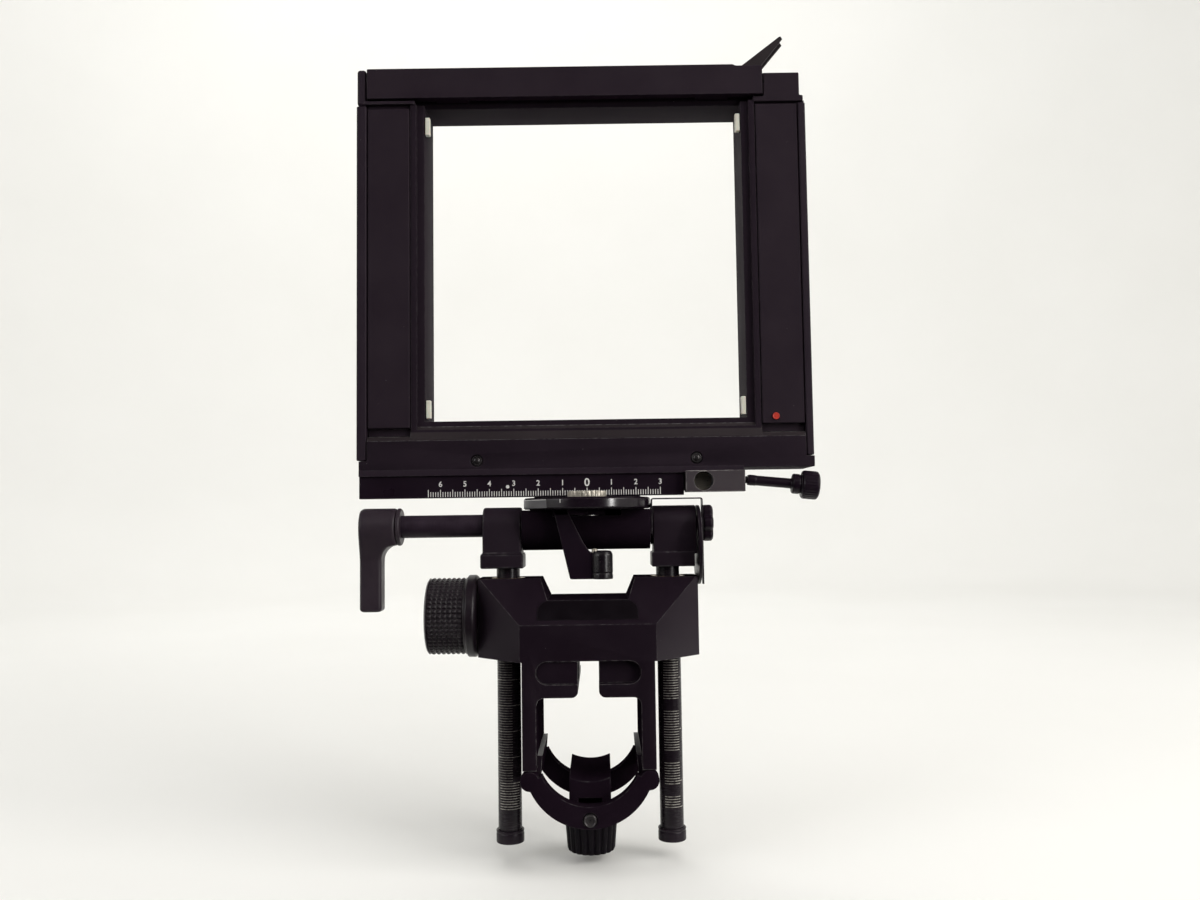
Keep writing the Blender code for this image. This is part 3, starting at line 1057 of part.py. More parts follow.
casting, blank_plate, column_bushes = make_bearer()
bail_pair, bail_pins, cross_bar = make_bails()
finish(bearer, BLACK_PAINT, casting, *bail_pair)
finish(bearer, BLACK_PLASTIC, blank_plate)
finish(bearer, BRONZE, *column_bushes)
finish(bearer, BRIGHT_STEEL, *bail_pins, cross_bar)

shoe, clamp_spindle, clamp_knob = make_clamp_screw()
finish(clamp_slide, BLACK_PAINT, shoe)
finish(clamp_slide, BRIGHT_STEEL, clamp_spindle)
finish(clamp_slide, BLACK_PLASTIC, clamp_knob)

lock_knob, lock_spindle = make_rise_lock()
finish(rise_lock, BLACK_ANODISED, lock_knob)
finish(rise_lock, BRIGHT_STEEL, lock_spindle)

for hand, word in ((-1, "left"), (1, "right")):
    finish(columns, BLACK_ANODISED, *make_column(hand, word + "_column"))
    finish(columns, BLACK_PAINT, make_tilt_block(hand, word + "_tilt_block"))
scale_plate, pivot_pin, end_knob = make_tilt_scale()
finish(columns, BLACK_ANODISED, scale_plate)
finish(columns, BRIGHT_STEEL, pivot_pin)
finish(tilt_end, BLACK_ANODISED, end_knob)

lock_lever, lock_shaft = make_tilt_lock()
finish(tilt_lock, BLACK_PLASTIC, lock_lever)
finish(tilt_lock, BLACK_ANODISED, lock_shaft)

barrel, pivot_stud, index_strip = make_tilt_head()
finish(tilt_head, BLACK_PAINT, barrel)
finish(tilt_head, BRIGHT_STEEL, pivot_stud)
finish(tilt_head, BLACK_ANODISED, index_strip)

swing_lever, swing_tip = make_swing_lock()
finish(swing_lock, BLACK_ANODISED, swing_lever)
finish(swing_lock, BLACK_PLASTIC, swing_tip)

disc, pivot_cap, carriage = make_turntable()
finish(turntable, BLACK_ANODISED, disc, carriage)
finish(turntable, BRIGHT_STEEL, pivot_cap)

shift_rail, scale_bar, rod_socket, thumb_screw = make_shift_slide()
frame_base, frame_bars = make_frame()
base_screws, white_pads, red_dot = make_frame_details(frame_base)
retaining_bar, retainer_lever, lever_pin = make_retainer()
finish(board_frame, BLACK_ANODISED, shift_rail, scale_bar)
finish(board_frame, BLACK_PAINT, rod_socket, *frame_bars)
finish(board_frame, BRIGHT_STEEL, *base_screws, lever_pin)
finish(board_frame, WHITE_NYLON, *white_pads)
finish(board_frame, RED_PAINT, red_dot)
finish(rod_clamp, BLACK_PLASTIC, thumb_screw)
finish(retainer, BLACK_PAINT, retaining_bar)
finish(retainer_pivot, BLACK_ANODISED, retainer_lever)
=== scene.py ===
"""Looks of one standard of a monorail view camera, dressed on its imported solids.

Lengths are in millimetres, in the frame of the solids: +Z up, +X to the right, the front towards -Y and
the origin on the axis of the rail. They become metres where a mesh or a material is made. Only the lamps
and the cove's shade are given in metres.
"""

import json
import logging
import math
from collections.abc import Callable, Sequence
from dataclasses import dataclass, field
from enum import Enum

import bmesh
import bpy
import numpy as np
from mathutils import Matrix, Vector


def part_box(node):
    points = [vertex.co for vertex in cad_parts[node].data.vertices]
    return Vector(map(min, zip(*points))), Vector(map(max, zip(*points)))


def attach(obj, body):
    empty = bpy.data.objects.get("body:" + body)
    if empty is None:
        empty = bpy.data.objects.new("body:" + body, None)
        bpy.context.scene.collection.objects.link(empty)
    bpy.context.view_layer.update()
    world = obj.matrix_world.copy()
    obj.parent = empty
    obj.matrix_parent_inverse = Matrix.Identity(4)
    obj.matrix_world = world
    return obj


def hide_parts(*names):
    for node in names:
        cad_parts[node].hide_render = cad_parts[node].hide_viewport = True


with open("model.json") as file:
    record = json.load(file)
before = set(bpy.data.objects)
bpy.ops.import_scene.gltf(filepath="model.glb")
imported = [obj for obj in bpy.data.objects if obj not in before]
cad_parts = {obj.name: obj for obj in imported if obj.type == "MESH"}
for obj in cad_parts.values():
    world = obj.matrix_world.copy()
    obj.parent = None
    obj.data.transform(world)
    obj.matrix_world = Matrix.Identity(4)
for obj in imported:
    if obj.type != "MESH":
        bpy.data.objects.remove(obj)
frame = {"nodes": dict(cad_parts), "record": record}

MM = 0.001
LOG = logging.getLogger("view_camera_standard")
Colour = tuple[float, float, float]
Point = tuple[float, float, float]
Line = tuple[tuple[float, float], ...]
ORIGIN: Point = (0, 0, 0)
UP: Point = (0, 0, 1)
TO_LEFT: Point = (-1, 0, 0)
TO_RIGHT: Point = (1, 0, 0)
TO_FRONT: Point = (0, -1, 0)
TO_BACK: Point = (0, 1, 0)
SIDES = ((-1, "left"), (1, "right"))
PROUD = 0.02
FIGURE_WEIGHT = 0.014


# Shapes


class View(Enum):
    """Which way a flat outline faces."""

    PLAN = "plan"
    FRONT = "front"
    SIDE = "side"

    def place(self, first: np.ndarray, second: np.ndarray, depth: np.ndarray) -> np.ndarray:
        """Puts an outline's two directions and its depth on X, Y and Z.

        Args:
            first: Coordinates along the outline's first direction.
            second: Coordinates along its second direction.
            depth: Coordinates across the outline.

        Returns:
            The points, with X, Y and Z on the last axis.
        """
        order = {View.PLAN: (first, second, depth), View.FRONT: (first, depth, second),
                 View.SIDE: (depth, first, second)}
        return np.stack(np.broadcast_arrays(*order[self]), axis=-1)


@dataclass
class Shell:
    """Points, four-sided faces and end caps of one or more sheets."""

    points: np.ndarray
    quads: np.ndarray
    caps: list[np.ndarray] = field(default_factory=list)

    def __add__(self, other: "Shell") -> "Shell":
        """Both shells as one."""
        shift = len(self.points)
        return Shell(np.vstack((self.points, other.points)), np.vstack((self.quads, other.quads + shift)),
                     self.caps + [cap + shift for cap in other.caps])

    @staticmethod
    def grid(points: np.ndarray, wrap_rows: bool = False, wrap_cols: bool = True,
             caps: bool = True) -> "Shell":
        """Joins a grid of points: cell (i, j) is (i, j), (i, j+1), (i+1, j+1), (i+1, j).

        Args:
            points: Rows by columns by 3.
            wrap_rows: Whether the last row joins the first.
            wrap_cols: Whether the last column joins the first.
            caps: Whether the first and the last row are filled.

        Returns:
            The shell.
        """
        rows, cols = points.shape[:2]
        i = np.arange(rows if wrap_rows else rows - 1)[:, None]
        j = np.arange(cols if wrap_cols else cols - 1)[None, :]
        below = (i + 1) % rows
        right = (j + 1) % cols
        corners = (i * cols + j, i * cols + right, below * cols + right, below * cols + j)
        quads = np.stack(np.broadcast_arrays(*corners), axis=-1).reshape(-1, 4)
        ends = [np.arange(cols), (rows - 1) * cols + np.arange(cols)] if caps else []
        return Shell(points.reshape(-1, 3), quads, ends)


def unit(vectors: np.ndarray) -> np.ndarray:
    """Vectors of length one, along the last axis."""
    return vectors / np.maximum(np.linalg.norm(vectors, axis=-1, keepdims=True), 1e-12)


def arc(centre: Sequence[float], radius: float, start: float, end: float, steps: int) -> np.ndarray:
    """Points on a circle: centre + radius (cos t, sin t), t from start to end degrees.

    Args:
        centre: The circle's middle in the outline's two directions.
        radius: Its radius.
        start: First angle in degrees.
        end: Last angle in degrees.
        steps: How many steps between them.

    Returns:
        steps + 1 points.
    """
    t = np.radians(np.linspace(start, end, steps + 1))
    return np.stack((centre[0] + radius * np.cos(t), centre[1] + radius * np.sin(t)), axis=-1)


def eased(points: Sequence[Sequence[float]], radius: float, steps: int = 3, closed: bool = True) -> np.ndarray:
    """Rounds every corner P of an outline by (1-s)^2 A + 2s(1-s) P + s^2 B, A and B on its two sides.

    Args:
        points: The outline's corners.
        radius: How far A and B stand from P, at most half of each side.
        steps: Steps along each rounded corner.
        closed: Whether the last corner joins the first; the ends of an open line stay.

    Returns:
        The rounded outline.
    """
    corner = np.asarray(points, float)
    before = np.roll(corner, 1, axis=0) - corner
    after = np.roll(corner, -1, axis=0) - corner
    cut_before = np.minimum(radius, np.linalg.norm(before, axis=1) * 0.49)
    cut_after = np.minimum(radius, np.linalg.norm(after, axis=1) * 0.49)
    if not closed:
        cut_before[[0, -1]] = 0
        cut_after[[0, -1]] = 0
    a = (corner + unit(before) * cut_before[:, None])[:, None, :]
    b = (corner + unit(after) * cut_after[:, None])[:, None, :]
    s = np.linspace(0, 1, steps + 1)[None, :, None]
    curve = (1 - s) ** 2 * a + 2 * s * (1 - s) * corner[:, None, :] + s ** 2 * b
    if closed:
        return curve.reshape(-1, 2)
    return np.vstack((corner[:1], curve[1:-1].reshape(-1, 2), corner[-1:]))


def inset(outline: np.ndarray, distance: float) -> np.ndarray:
    """Moves an outline inwards along its mitres: P + d (m + n) / (1 + m.n), m and n the inward normals.

    Args:
        outline: Points in counter-clockwise order.
        distance: How far it moves.

    Returns:
        The smaller outline, with as many points.
    """
    into = unit(outline - np.roll(outline, 1, axis=0))
    out = unit(np.roll(outline, -1, axis=0) - outline)
    m = np.stack((-into[:, 1], into[:, 0]), axis=-1)
    n = np.stack((-out[:, 1], out[:, 0]), axis=-1)
    return outline + distance * (m + n) / np.maximum(1 + np.sum(m * n, axis=1, keepdims=True), 0.3)


def slab(outline: Sequence[Sequence[float]], low: float, high: float, view: View, edge: float,
         steps: int = 3) -> Shell:
    """Carries an outline from low to high, with quarter-round edges: inset e(1-sin a), depth e(1-cos a).

    Args:
        outline: The outline's points in the view's two directions.
        low: Where the slab begins across the view.
        high: Where it ends.
        view: Which way the outline faces.
        edge: Radius of its edges.
        steps: Steps round each edge.

    Returns:
        The closed shell.
    """
    line = np.asarray(outline, float)
    ahead = np.roll(line, -1, axis=0)
    if np.sum(line[:, 0] * ahead[:, 1] - ahead[:, 0] * line[:, 1]) < 0:
        line = line[::-1]
    angle = np.linspace(0, math.pi / 2, steps + 1)
    pull = edge * (1 - np.sin(angle))
    depth = edge * (1 - np.cos(angle))
    pulls = np.concatenate((pull, pull[::-1]))
    depths = np.concatenate((low + depth, (high - depth)[::-1]))
    mitre = inset(line, 1.0) - line
    rows = line[None] + pulls[:, None, None] * mitre[None]
    return Shell.grid(view.place(rows[..., 0], rows[..., 1], depths[:, None]))


def rounded_box(low: Sequence[float], high: Sequence[float], edge: float, steps: int = 3) -> Shell:
    """A box with rounded edges: middle + sign(n) (half - edge) + edge n, n over the unit sphere.

    Args:
        low: Its lowest corner.
        high: Its highest corner.
        edge: Radius of its edges.
        steps: Steps round each edge.

    Returns:
        The closed shell.
    """
    low, high = np.asarray(low, float), np.asarray(high, float)
    half = (high - low) / 2
    quarter = np.linspace(0, math.pi / 2, steps + 1)
    around = np.concatenate([quarter + k * math.pi / 2 for k in range(4)])
    sign_x = np.repeat((1, -1, -1, 1), steps + 1)
    sign_y = np.repeat((1, 1, -1, -1), steps + 1)
    rise = np.concatenate((quarter - math.pi / 2, quarter))
    sign_z = np.repeat((-1, 1), steps + 1)
    flat = np.cos(rise)[:, None]
    x = sign_x * (half[0] - edge) + edge * flat * np.cos(around)
    y = sign_y * (half[1] - edge) + edge * flat * np.sin(around)
    z = (sign_z * (half[2] - edge) + edge * np.sin(rise))[:, None]
    points = np.stack(np.broadcast_arrays(x, y, z), axis=-1) + (low + high) / 2
    return Shell.grid(points)


def box_of(node: str) -> tuple[np.ndarray, np.ndarray]:
    """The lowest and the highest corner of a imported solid."""
    low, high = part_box(node)
    return np.asarray(low, float) / MM, np.asarray(high, float) / MM


def rows_of(items: bpy.types.bpy_prop_collection, key: str, kind: type = float) -> np.ndarray:
    """One property with three parts of every item, a row each.

    Args:
        items: The mesh's points, faces or triangles.
        key: The property's name.
        kind: The type of its parts.

    Returns:
        The rows.
    """
    values = np.empty(len(items) * 3, kind)
    items.foreach_get(key, values)
    return values.reshape(-1, 3)


def placed(name: str, data: bpy.types.ID) -> bpy.types.Object:
    """A new object of some data, linked to the scene.

    Args:
        name: The object's name.
        data: Its mesh, curve, lamp or camera.

    Returns:
        The object.
    """
    item = bpy.data.objects.new(name, data)
    bpy.context.scene.collection.objects.link(item)
    return item


def stand(item: bpy.types.Object, axes: np.ndarray, place: Sequence[float]) -> None:
    """Stands an object at a place in metres, with its own axes along the columns of axes.

    Args:
        item: The object.
        axes: Its three axes, a column each.
        place: Its place in metres.
    """
    matrix = Matrix(axes.tolist()).to_4x4()
    matrix.translation = tuple(map(float, place))
    item.matrix_world = matrix


def plain_mesh(name: str, shell: Shell) -> bpy.types.Mesh:
    """A mesh, in metres, of a shell's points and faces as they are.

    Args:
        name: The mesh's name.
        shell: Its points and faces.

    Returns:
        The mesh.
    """
    mesh = bpy.data.meshes.new(name)
    faces = shell.quads.tolist() + [cap.tolist() for cap in shell.caps]
    mesh.from_pydata((shell.points * MM).tolist(), [], faces)
    return mesh


def mesh_of(name: str, shell: Shell, closed: bool) -> bpy.types.Mesh:
    """Makes a mesh of a shell, its doubles merged.

    Args:
        name: The mesh's name.
        shell: Its points and faces.
        closed: Whether it is a closed skin, whose faces are then turned outward.

    Returns:
        The mesh.
    """
    mesh = plain_mesh(name, shell)
    bm = bmesh.new()
    bm.from_mesh(mesh)
    bmesh.ops.remove_doubles(bm, verts=bm.verts, dist=1e-7)
    bmesh.ops.dissolve_degenerate(bm, edges=bm.edges, dist=1e-8)
    if closed:
        bmesh.ops.recalc_face_normals(bm, faces=bm.faces)
    bm.to_mesh(mesh)
    bm.free()
    mesh.shade_smooth()
    return mesh


def axes_along(direction: Sequence[float]) -> tuple[np.ndarray, np.ndarray, np.ndarray]:
    """The unit direction and two directions across it.

    Args:
        direction: Any direction.

    Returns:
        It at length one, and two directions across it and each other.
    """
    along = unit(np.asarray(direction, float))
    helper = np.array((0.0, 0.0, 1.0)) if abs(along[2]) < 0.9 else np.array((1.0, 0.0, 0.0))
    across = unit(np.cross(helper, along))
    return along, across, np.cross(along, across)


def turned(profile: Sequence[Sequence[float]], base: Sequence[float] = ORIGIN, direction: Sequence[float] = UP,
           steps: int = 64, ripple: Callable[[np.ndarray, np.ndarray], np.ndarray] | None = None) -> Shell:
    """Turns a profile about a line: base + h along + (r + ripple(h, t)) (cos t across + sin t up).

    Args:
        profile: Radius and height of each point.
        base: Where the line begins.
        direction: Which way it runs.
        steps: Steps round the line.
        ripple: What is added to the radius at each height and angle, for knurls and flutes.

    Returns:
        The shell, closed at both ends.
    """
    along, across, up = axes_along(direction)
    radius, height = np.asarray(profile, float).T
    t = np.linspace(0, 2 * math.pi, steps, endpoint=False)[None, :, None]
    h = height[:, None, None]
    r = radius[:, None, None]
    if ripple is not None:
        r = np.maximum(r + ripple(h, t) * (r > 1e-6), 0)
    points = np.asarray(base, float) + h * along + r * (np.cos(t) * across + np.sin(t) * up)
    return Shell.grid(points)


def hoop(profile: Sequence[Sequence[float]], base: Sequence[float] = ORIGIN, direction: Sequence[float] = UP,
         steps: int = 64) -> Shell:
    """Turns a closed profile about a line: base + h along + r (cos t across + sin t up).

    Args:
        profile: Radius and height of each point, in order round the profile.
        base: Where the line begins.
        direction: Which way it runs.
        steps: Steps round the line.

    Returns:
        The closed ring.
    """
    shell = turned(profile, base, direction, steps)
    points = shell.points.reshape(len(profile), steps, 3)
    return Shell.grid(points, wrap_rows=True, caps=False)


def threads(radius: float, depth: float, pitch: float, start: float, end: float) -> np.ndarray:
    """A screw's profile: radius - depth |saw(h / pitch)|, from start to end.

    Args:
        radius: Outer radius of the thread.
        depth: Depth of its grooves.
        pitch: Height from groove to groove.
        start: First height.
        end: Last height.

    Returns:
        Radius and height of each point.
    """
    h = np.linspace(start, end, max(3, int(abs(end - start) / pitch) * 4 + 1))
    saw = np.abs((h / pitch) % 1.0 - 0.5) * 2
    return np.stack((radius - depth * saw, h), axis=-1)


def bent_strip(path: np.ndarray, thickness: float, low: float, high: float) -> Shell:
    """A bent sheet: the path and its copy moved by thickness along n, carried from low to high on Y.

    Args:
        path: X and Z along the bend.
        thickness: The sheet's thickness.
        low: Its front edge.
        high: Its back edge.

    Returns:
        The closed shell.
    """
    step = unit(np.gradient(path, axis=0))
    normal = np.stack((step[:, 1], -step[:, 0]), axis=-1)
    loop = np.vstack((path, (path + thickness * normal)[::-1]))
    depth = np.array((low, high))[:, None]
    return Shell.grid(View.FRONT.place(loop[None, :, 0], loop[None, :, 1], depth))


def ring_marks(centre: Sequence[float], radius: float, heights: np.ndarray, width: float, start: np.ndarray,
               end: np.ndarray, steps: int = 14) -> Shell:
    """Strips on an upright rod: centre + radius (cos t, sin t), t from start to end, width along Z.

    Args:
        centre: X and Y of the rod's axis.
        radius: Radius of the strips.
        heights: Middle of each strip on Z.
        width: Height of a strip.
        start: First angle of each strip in degrees.
        end: Last angle of each strip in degrees.
        steps: Steps along each strip.

    Returns:
        One open shell of all the strips.
    """
    s = np.linspace(0, 1, steps + 1)[None, :]
    t = np.radians(start[:, None] + (end - start)[:, None] * s)[:, None, :]
    z = heights[:, None, None] + width * np.array((-0.5, 0.5))[None, :, None]
    x, y = centre[0] + radius * np.cos(t), centre[1] + radius * np.sin(t)
    return patches(np.stack(np.broadcast_arrays(x, y, z), axis=-1))


def patches(points: np.ndarray) -> Shell:
    """Many open grids of the same size as one shell, from an array of grids.

    Args:
        points: Grids by rows by columns by 3.

    Returns:
        The open shell of all the grids.
    """
    one = Shell.grid(points[0], wrap_cols=False, caps=False)
    shift = (np.arange(len(points)) * len(one.points))[:, None, None]
    return Shell(points.reshape(-1, 3), (one.quads[None] + shift).reshape(-1, 4))


def bar_marks(places: np.ndarray, bottom: float, tops: np.ndarray, width: float, depth: float) -> Shell:
    """Upright rectangles on a face towards -Y: X within width of its place, Z from bottom to its top.

    Args:
        places: Middle of each mark on X.
        bottom: Lower end of the marks on Z.
        tops: Upper end of each mark on Z.
        width: Width of a mark.
        depth: Where they lie on Y.

    Returns:
        One open shell of all the marks.
    """
    x = places[:, None, None] + width * np.array((-0.5, 0.5))[None, None, :]
    z = np.stack((np.full_like(tops, bottom), tops), axis=-1)[:, :, None]
    return patches(np.stack(np.broadcast_arrays(x, depth, z), axis=-1))


def numeral(text: str, height: float, place: Point) -> Shell:
    """A number that faces -Y: its filled letters (x, y) are put at place + (x, 0, y).

    Args:
        text: The number.
        height: Height of its figures.
        place: Middle of its foot.

    Returns:
        The open shell of its faces.
    """
    curve = bpy.data.curves.new("figure", "FONT")
    curve.body = text
    curve.align_x = "CENTER"
    curve.offset = FIGURE_WEIGHT
    holder = placed("figure", curve)
    mesh = holder.evaluated_get(bpy.context.evaluated_depsgraph_get()).to_mesh()
    mesh.calc_loop_triangles()
    flat = rows_of(mesh.vertices, "co")
    corners = rows_of(mesh.loop_triangles, "vertices", int)
    bpy.data.objects.remove(holder, do_unlink=True)
    flat[:, 1] -= flat[:, 1].min()
    flat *= height / flat[:, 1].max()
    points = np.stack((flat[:, 0], np.zeros(len(flat)), flat[:, 1]), axis=-1) + np.asarray(place)
    return Shell(points, np.empty((0, 4), int), list(corners))


# Finishes


class Sketch:
    """A new material and short calls that add nodes to it; sizes are in millimetres."""

    def __init__(self, name: str) -> None:
        """Starts a material with a Principled shader and the piece's own coordinates.

        Args:
            name: The material's name.
        """
        self.material = bpy.data.materials.new(name)
        self.material.use_nodes = True
        self.tree = self.material.node_tree
        self.shader = self.tree.nodes["Principled BSDF"]
        self.place = self.add("ShaderNodeTexCoord").outputs["Object"]

    def add(self, kind: str, **settings: object) -> bpy.types.Node:
        """Adds a node and sets its properties.

        Args:
            kind: The node's type.
            settings: Its properties.

        Returns:
            The node.
        """
        node = self.tree.nodes.new(kind)
        for key, value in settings.items():
            setattr(node, key, value)
        return node

    def feed(self, socket: bpy.types.NodeSocket, value: object) -> None:
        """Links a node's output to a socket, or sets the socket's number.

        Args:
            socket: The input to feed.
            value: An output, a number or a colour.
        """
        if isinstance(value, bpy.types.NodeSocket):
            self.tree.links.new(value, socket)
        else:
            socket.default_value = value

    def dress(self, **inputs: object) -> None:
        """Feeds inputs of the shader, named with underscores for spaces."""
        for name, value in inputs.items():
            self.feed(self.shader.inputs[name.replace("_", " ")], value)

    def texture(self, kind: str, size: float, stretch: Point = (1, 1, 1)) -> bpy.types.Node:
        """Adds a texture on the piece's own coordinates.

        Args:
            kind: The texture node's type.
            size: Size of its lumps or cells.
            stretch: How many times finer it is along X, Y and Z.

        Returns:
            The texture node.
        """
        mapping = self.add("ShaderNodeMapping")
        self.feed(mapping.inputs["Vector"], self.place)
        mapping.inputs["Scale"].default_value = tuple(part / (size * MM) for part in stretch)
        node = self.add(kind)
        self.feed(node.inputs["Vector"], mapping.outputs["Vector"])
        node.inputs["Scale"].default_value = 1.0
        return node

    def noise(self, size: float, detail: float = 2.0, stretch: Point = (1, 1, 1)) -> bpy.types.NodeSocket:
        """Cloudy noise from 0 to 1.

        Args:
            size: Size of its lumps.
            detail: How many finer layers it has.
            stretch: How many times finer it is along X, Y and Z.

        Returns:
            Its value.
        """
        node = self.texture("ShaderNodeTexNoise", size, stretch)
        node.inputs["Detail"].default_value = detail
        return node.outputs[0]

    def specks(self, spacing: float, size: float) -> bpy.types.NodeSocket:
        """Round specks: 1 within size of scattered points about spacing apart, 0 elsewhere."""
        node = self.texture("ShaderNodeTexVoronoi", spacing)
        return self.span(node.outputs["Distance"], size / spacing, 0.5 * size / spacing)

    def span(self, value: bpy.types.NodeSocket, low: float, high: float, to_low: float = 0.0,
             to_high: float = 1.0) -> bpy.types.NodeSocket:
        """Carries a value's span from low..high over to to_low..to_high, held at both ends.

        Args:
            value: The value.
            low: Start of its span.
            high: End of its span.
            to_low: What low becomes.
            to_high: What high becomes.

        Returns:
            The new value.
        """
        node = self.add("ShaderNodeMapRange")
        self.feed(node.inputs["Value"], value)
        for name, number in (("From Min", low), ("From Max", high), ("To Min", to_low), ("To Max", to_high)):
            node.inputs[name].default_value = number
        return node.outputs["Result"]

    def math(self, kind: str, first: object, second: object) -> bpy.types.NodeSocket:
        """Adds, multiplies or otherwise joins two values.

        Args:
            kind: What is done with them.
            first: An output or a number.
            second: Another.

        Returns:
            The result.
        """
        node = self.add("ShaderNodeMath", operation=kind)
        self.feed(node.inputs[0], first)
        self.feed(node.inputs[1], second)
        return node.outputs[0]

    def mix(self, share: bpy.types.NodeSocket, first: object, second: object) -> bpy.types.NodeSocket:
        """A colour between two colours.

        Args:
            share: 0 for the first colour, 1 for the second.
            first: An output or a colour.
            second: Another.

        Returns:
            The mixed colour.
        """
        node = self.add("ShaderNodeMix", data_type="RGBA")
        self.feed(node.inputs[0], share)
        for socket, colour in ((node.inputs[6], first), (node.inputs[7], second)):
            self.feed(socket, colour if isinstance(colour, bpy.types.NodeSocket) else (*colour, 1.0))
        return node.outputs[2]

    def edges(self, radius: float) -> bpy.types.NodeSocket:
        """Finds edges by how far the normal, averaged over a radius, leaves the surface's own.

        Args:
            radius: The radius of the average.

        Returns:
            1 on edges, 0 away from them.
        """
        soft = self.add("ShaderNodeBevel", samples=4)
        soft.inputs["Radius"].default_value = radius * MM
        own = self.add("ShaderNodeNewGeometry")
        dot = self.add("ShaderNodeVectorMath", operation="DOT_PRODUCT")
        self.feed(dot.inputs[0], soft.outputs["Normal"])
        self.feed(dot.inputs[1], own.outputs["Normal"])
        return self.span(dot.outputs["Value"], 0.99, 0.86)

    def bump(self, height: bpy.types.NodeSocket, strength: float, distance: float) -> None:
        """Gives the shader small relief from a height.

        Args:
            height: The height, from 0 to 1.
            strength: How much of the relief shows.
            distance: How high 1 stands.
        """
        node = self.add("ShaderNodeBump")
        node.inputs["Strength"].default_value = strength
        node.inputs["Distance"].default_value = distance * MM
        self.feed(node.inputs["Height"], height)
        self.dress(Normal=node.outputs["Normal"])


@dataclass(frozen=True)
class BlackCoat:
    """A black coat on metal: fine grain, cloudy gloss, a little dust and lighter edges, partly rubbed through and
    partly painted edge highlight.
    """

    name: str
    colour: Colour = (0.0160, 0.0098, 0.0160)
    cloud: Colour = (0.0205, 0.0132, 0.0202)
    rubbed: Colour = (0.17, 0.165, 0.165)
    roughness: float = 0.42
    grain: float = 0.45
    depth: float = 0.025
    wear: float = 0.6
    specular: float = 0.22
    patchy: float = 0.1
    cloud_size: float = 22
    scuff_size: float = 2.2
    patch_size: float = 9
    edge_reach: float = 0.45
    dust: Colour = (0.3, 0.29, 0.28)
    dust_spacing: float = 7
    dust_size: float = 0.16

    def build(self, edge: bool = False) -> bpy.types.Material:
        """Makes the material: colour, gloss and relief from noise, and a lighter colour on the piece's edges,
        partly wear and partly painted edge highlight.

        Args:
            edge: Whether it is the coat of rounded edges, lighter in long patches that are partly rubbed through
                and partly painted edge highlight.

        Returns:
            The material.
        """
        sketch = Sketch(self.name + "_edge" if edge else self.name)
        clouds = sketch.noise(self.cloud_size, 4.0)
        grain = sketch.noise(self.grain, 2.0)
        scuffs = sketch.span(sketch.noise(self.scuff_size, 3.0), 0.38, 0.62, 0.1, 1)
        if edge:
            where = sketch.span(sketch.noise(self.patch_size, 2.0), 0.46, 0.62, self.patchy, 1)
        else:
            where = sketch.edges(self.edge_reach)
        # Lighter edges: partly rubbed wear, partly painted highlight along the edges.
        worn_and_highlit = sketch.math("MULTIPLY", sketch.math("MULTIPLY", where, scuffs), self.wear)
        base = sketch.mix(sketch.span(clouds, 0.3, 0.7), self.colour, self.cloud)
        base = sketch.mix(worn_and_highlit, base, self.rubbed)
        specks = sketch.specks(self.dust_spacing, self.dust_size)
        base = sketch.mix(sketch.math("MULTIPLY", specks, 0.35), base, self.dust)
        gloss = sketch.span(clouds, 0.25, 0.75, self.roughness - 0.05, self.roughness + 0.07)
        gloss = sketch.math("SUBTRACT", gloss, sketch.math("MULTIPLY", worn_and_highlit, 0.12))
        sketch.dress(Base_Color=base, Roughness=gloss, Specular_IOR_Level=self.specular)
        sketch.bump(grain, 0.35, self.depth)
        return sketch.material


@dataclass(frozen=True)
class TurnedMetal:
    """Metal off the lathe: fine rings across its axis, uneven gloss and a few scratches."""

    name: str
    colour: Colour
    dark: Colour
    axis: int = 2
    roughness: float = 0.28
    metallic: float = 1.0
    specular: float = 0.5
    rings: float = 0.16
    cloud_size: float = 6

    def build(self) -> bpy.types.Material:
        """Makes the material: noise drawn out across the axis gives the tool marks.

        Returns:
            The material.
        """
        sketch = Sketch(self.name)
        stretch = [0.04, 0.04, 0.04]
        stretch[self.axis] = 1.0
        marks = sketch.noise(self.rings, 3.0, tuple(stretch))
        clouds = sketch.noise(self.cloud_size, 3.0)
        tone = sketch.math("ADD", sketch.math("MULTIPLY", marks, 0.5), sketch.math("MULTIPLY", clouds, 0.5))
        sketch.dress(Base_Color=sketch.mix(sketch.span(tone, 0.35, 0.65), self.dark, self.colour),
                     Roughness=sketch.span(tone, 0.3, 0.7, self.roughness - 0.07, self.roughness + 0.1),
                     Metallic=self.metallic, Specular_IOR_Level=self.specular)
        sketch.bump(marks, 0.25, 0.02)
        return sketch.material


@dataclass(frozen=True)
class Moulded:
    """Moulded plastic: fine pebble grain, slight tone changes and lighter edges, partly handling wear and partly
    painted edge highlight.
    """

    name: str
    colour: Colour
    shade: Colour
    roughness: float = 0.5
    specular: float = 0.35
    translucent: float = 0.0
    cloud_size: float = 5
    pebble: float = 0.35
    edge_reach: float = 0.4

    def build(self) -> bpy.types.Material:
        """Makes the material: pebble bump, cloudy colour and roughness.

        Returns:
            The material.
        """
        sketch = Sketch(self.name)
        clouds = sketch.noise(self.cloud_size, 3.0)
        pebble = sketch.noise(self.pebble, 1.0)
        base = sketch.mix(sketch.span(clouds, 0.3, 0.7), self.shade, self.colour)
        # Lighter edges: partly handling wear, partly painted highlight along the edges.
        lighter = tuple(min(1.0, part * 1.9 + 0.01) for part in self.colour)
        base = sketch.mix(sketch.math("MULTIPLY", sketch.edges(self.edge_reach), 0.5), base, lighter)
        gloss = sketch.span(clouds, 0.3, 0.7, self.roughness - 0.06, self.roughness + 0.08)
        sketch.dress(Base_Color=base, Roughness=gloss, Specular_IOR_Level=self.specular,
                     Subsurface_Weight=self.translucent, Subsurface_Scale=MM)
        sketch.bump(pebble, 0.3, 0.02)
        return sketch.material


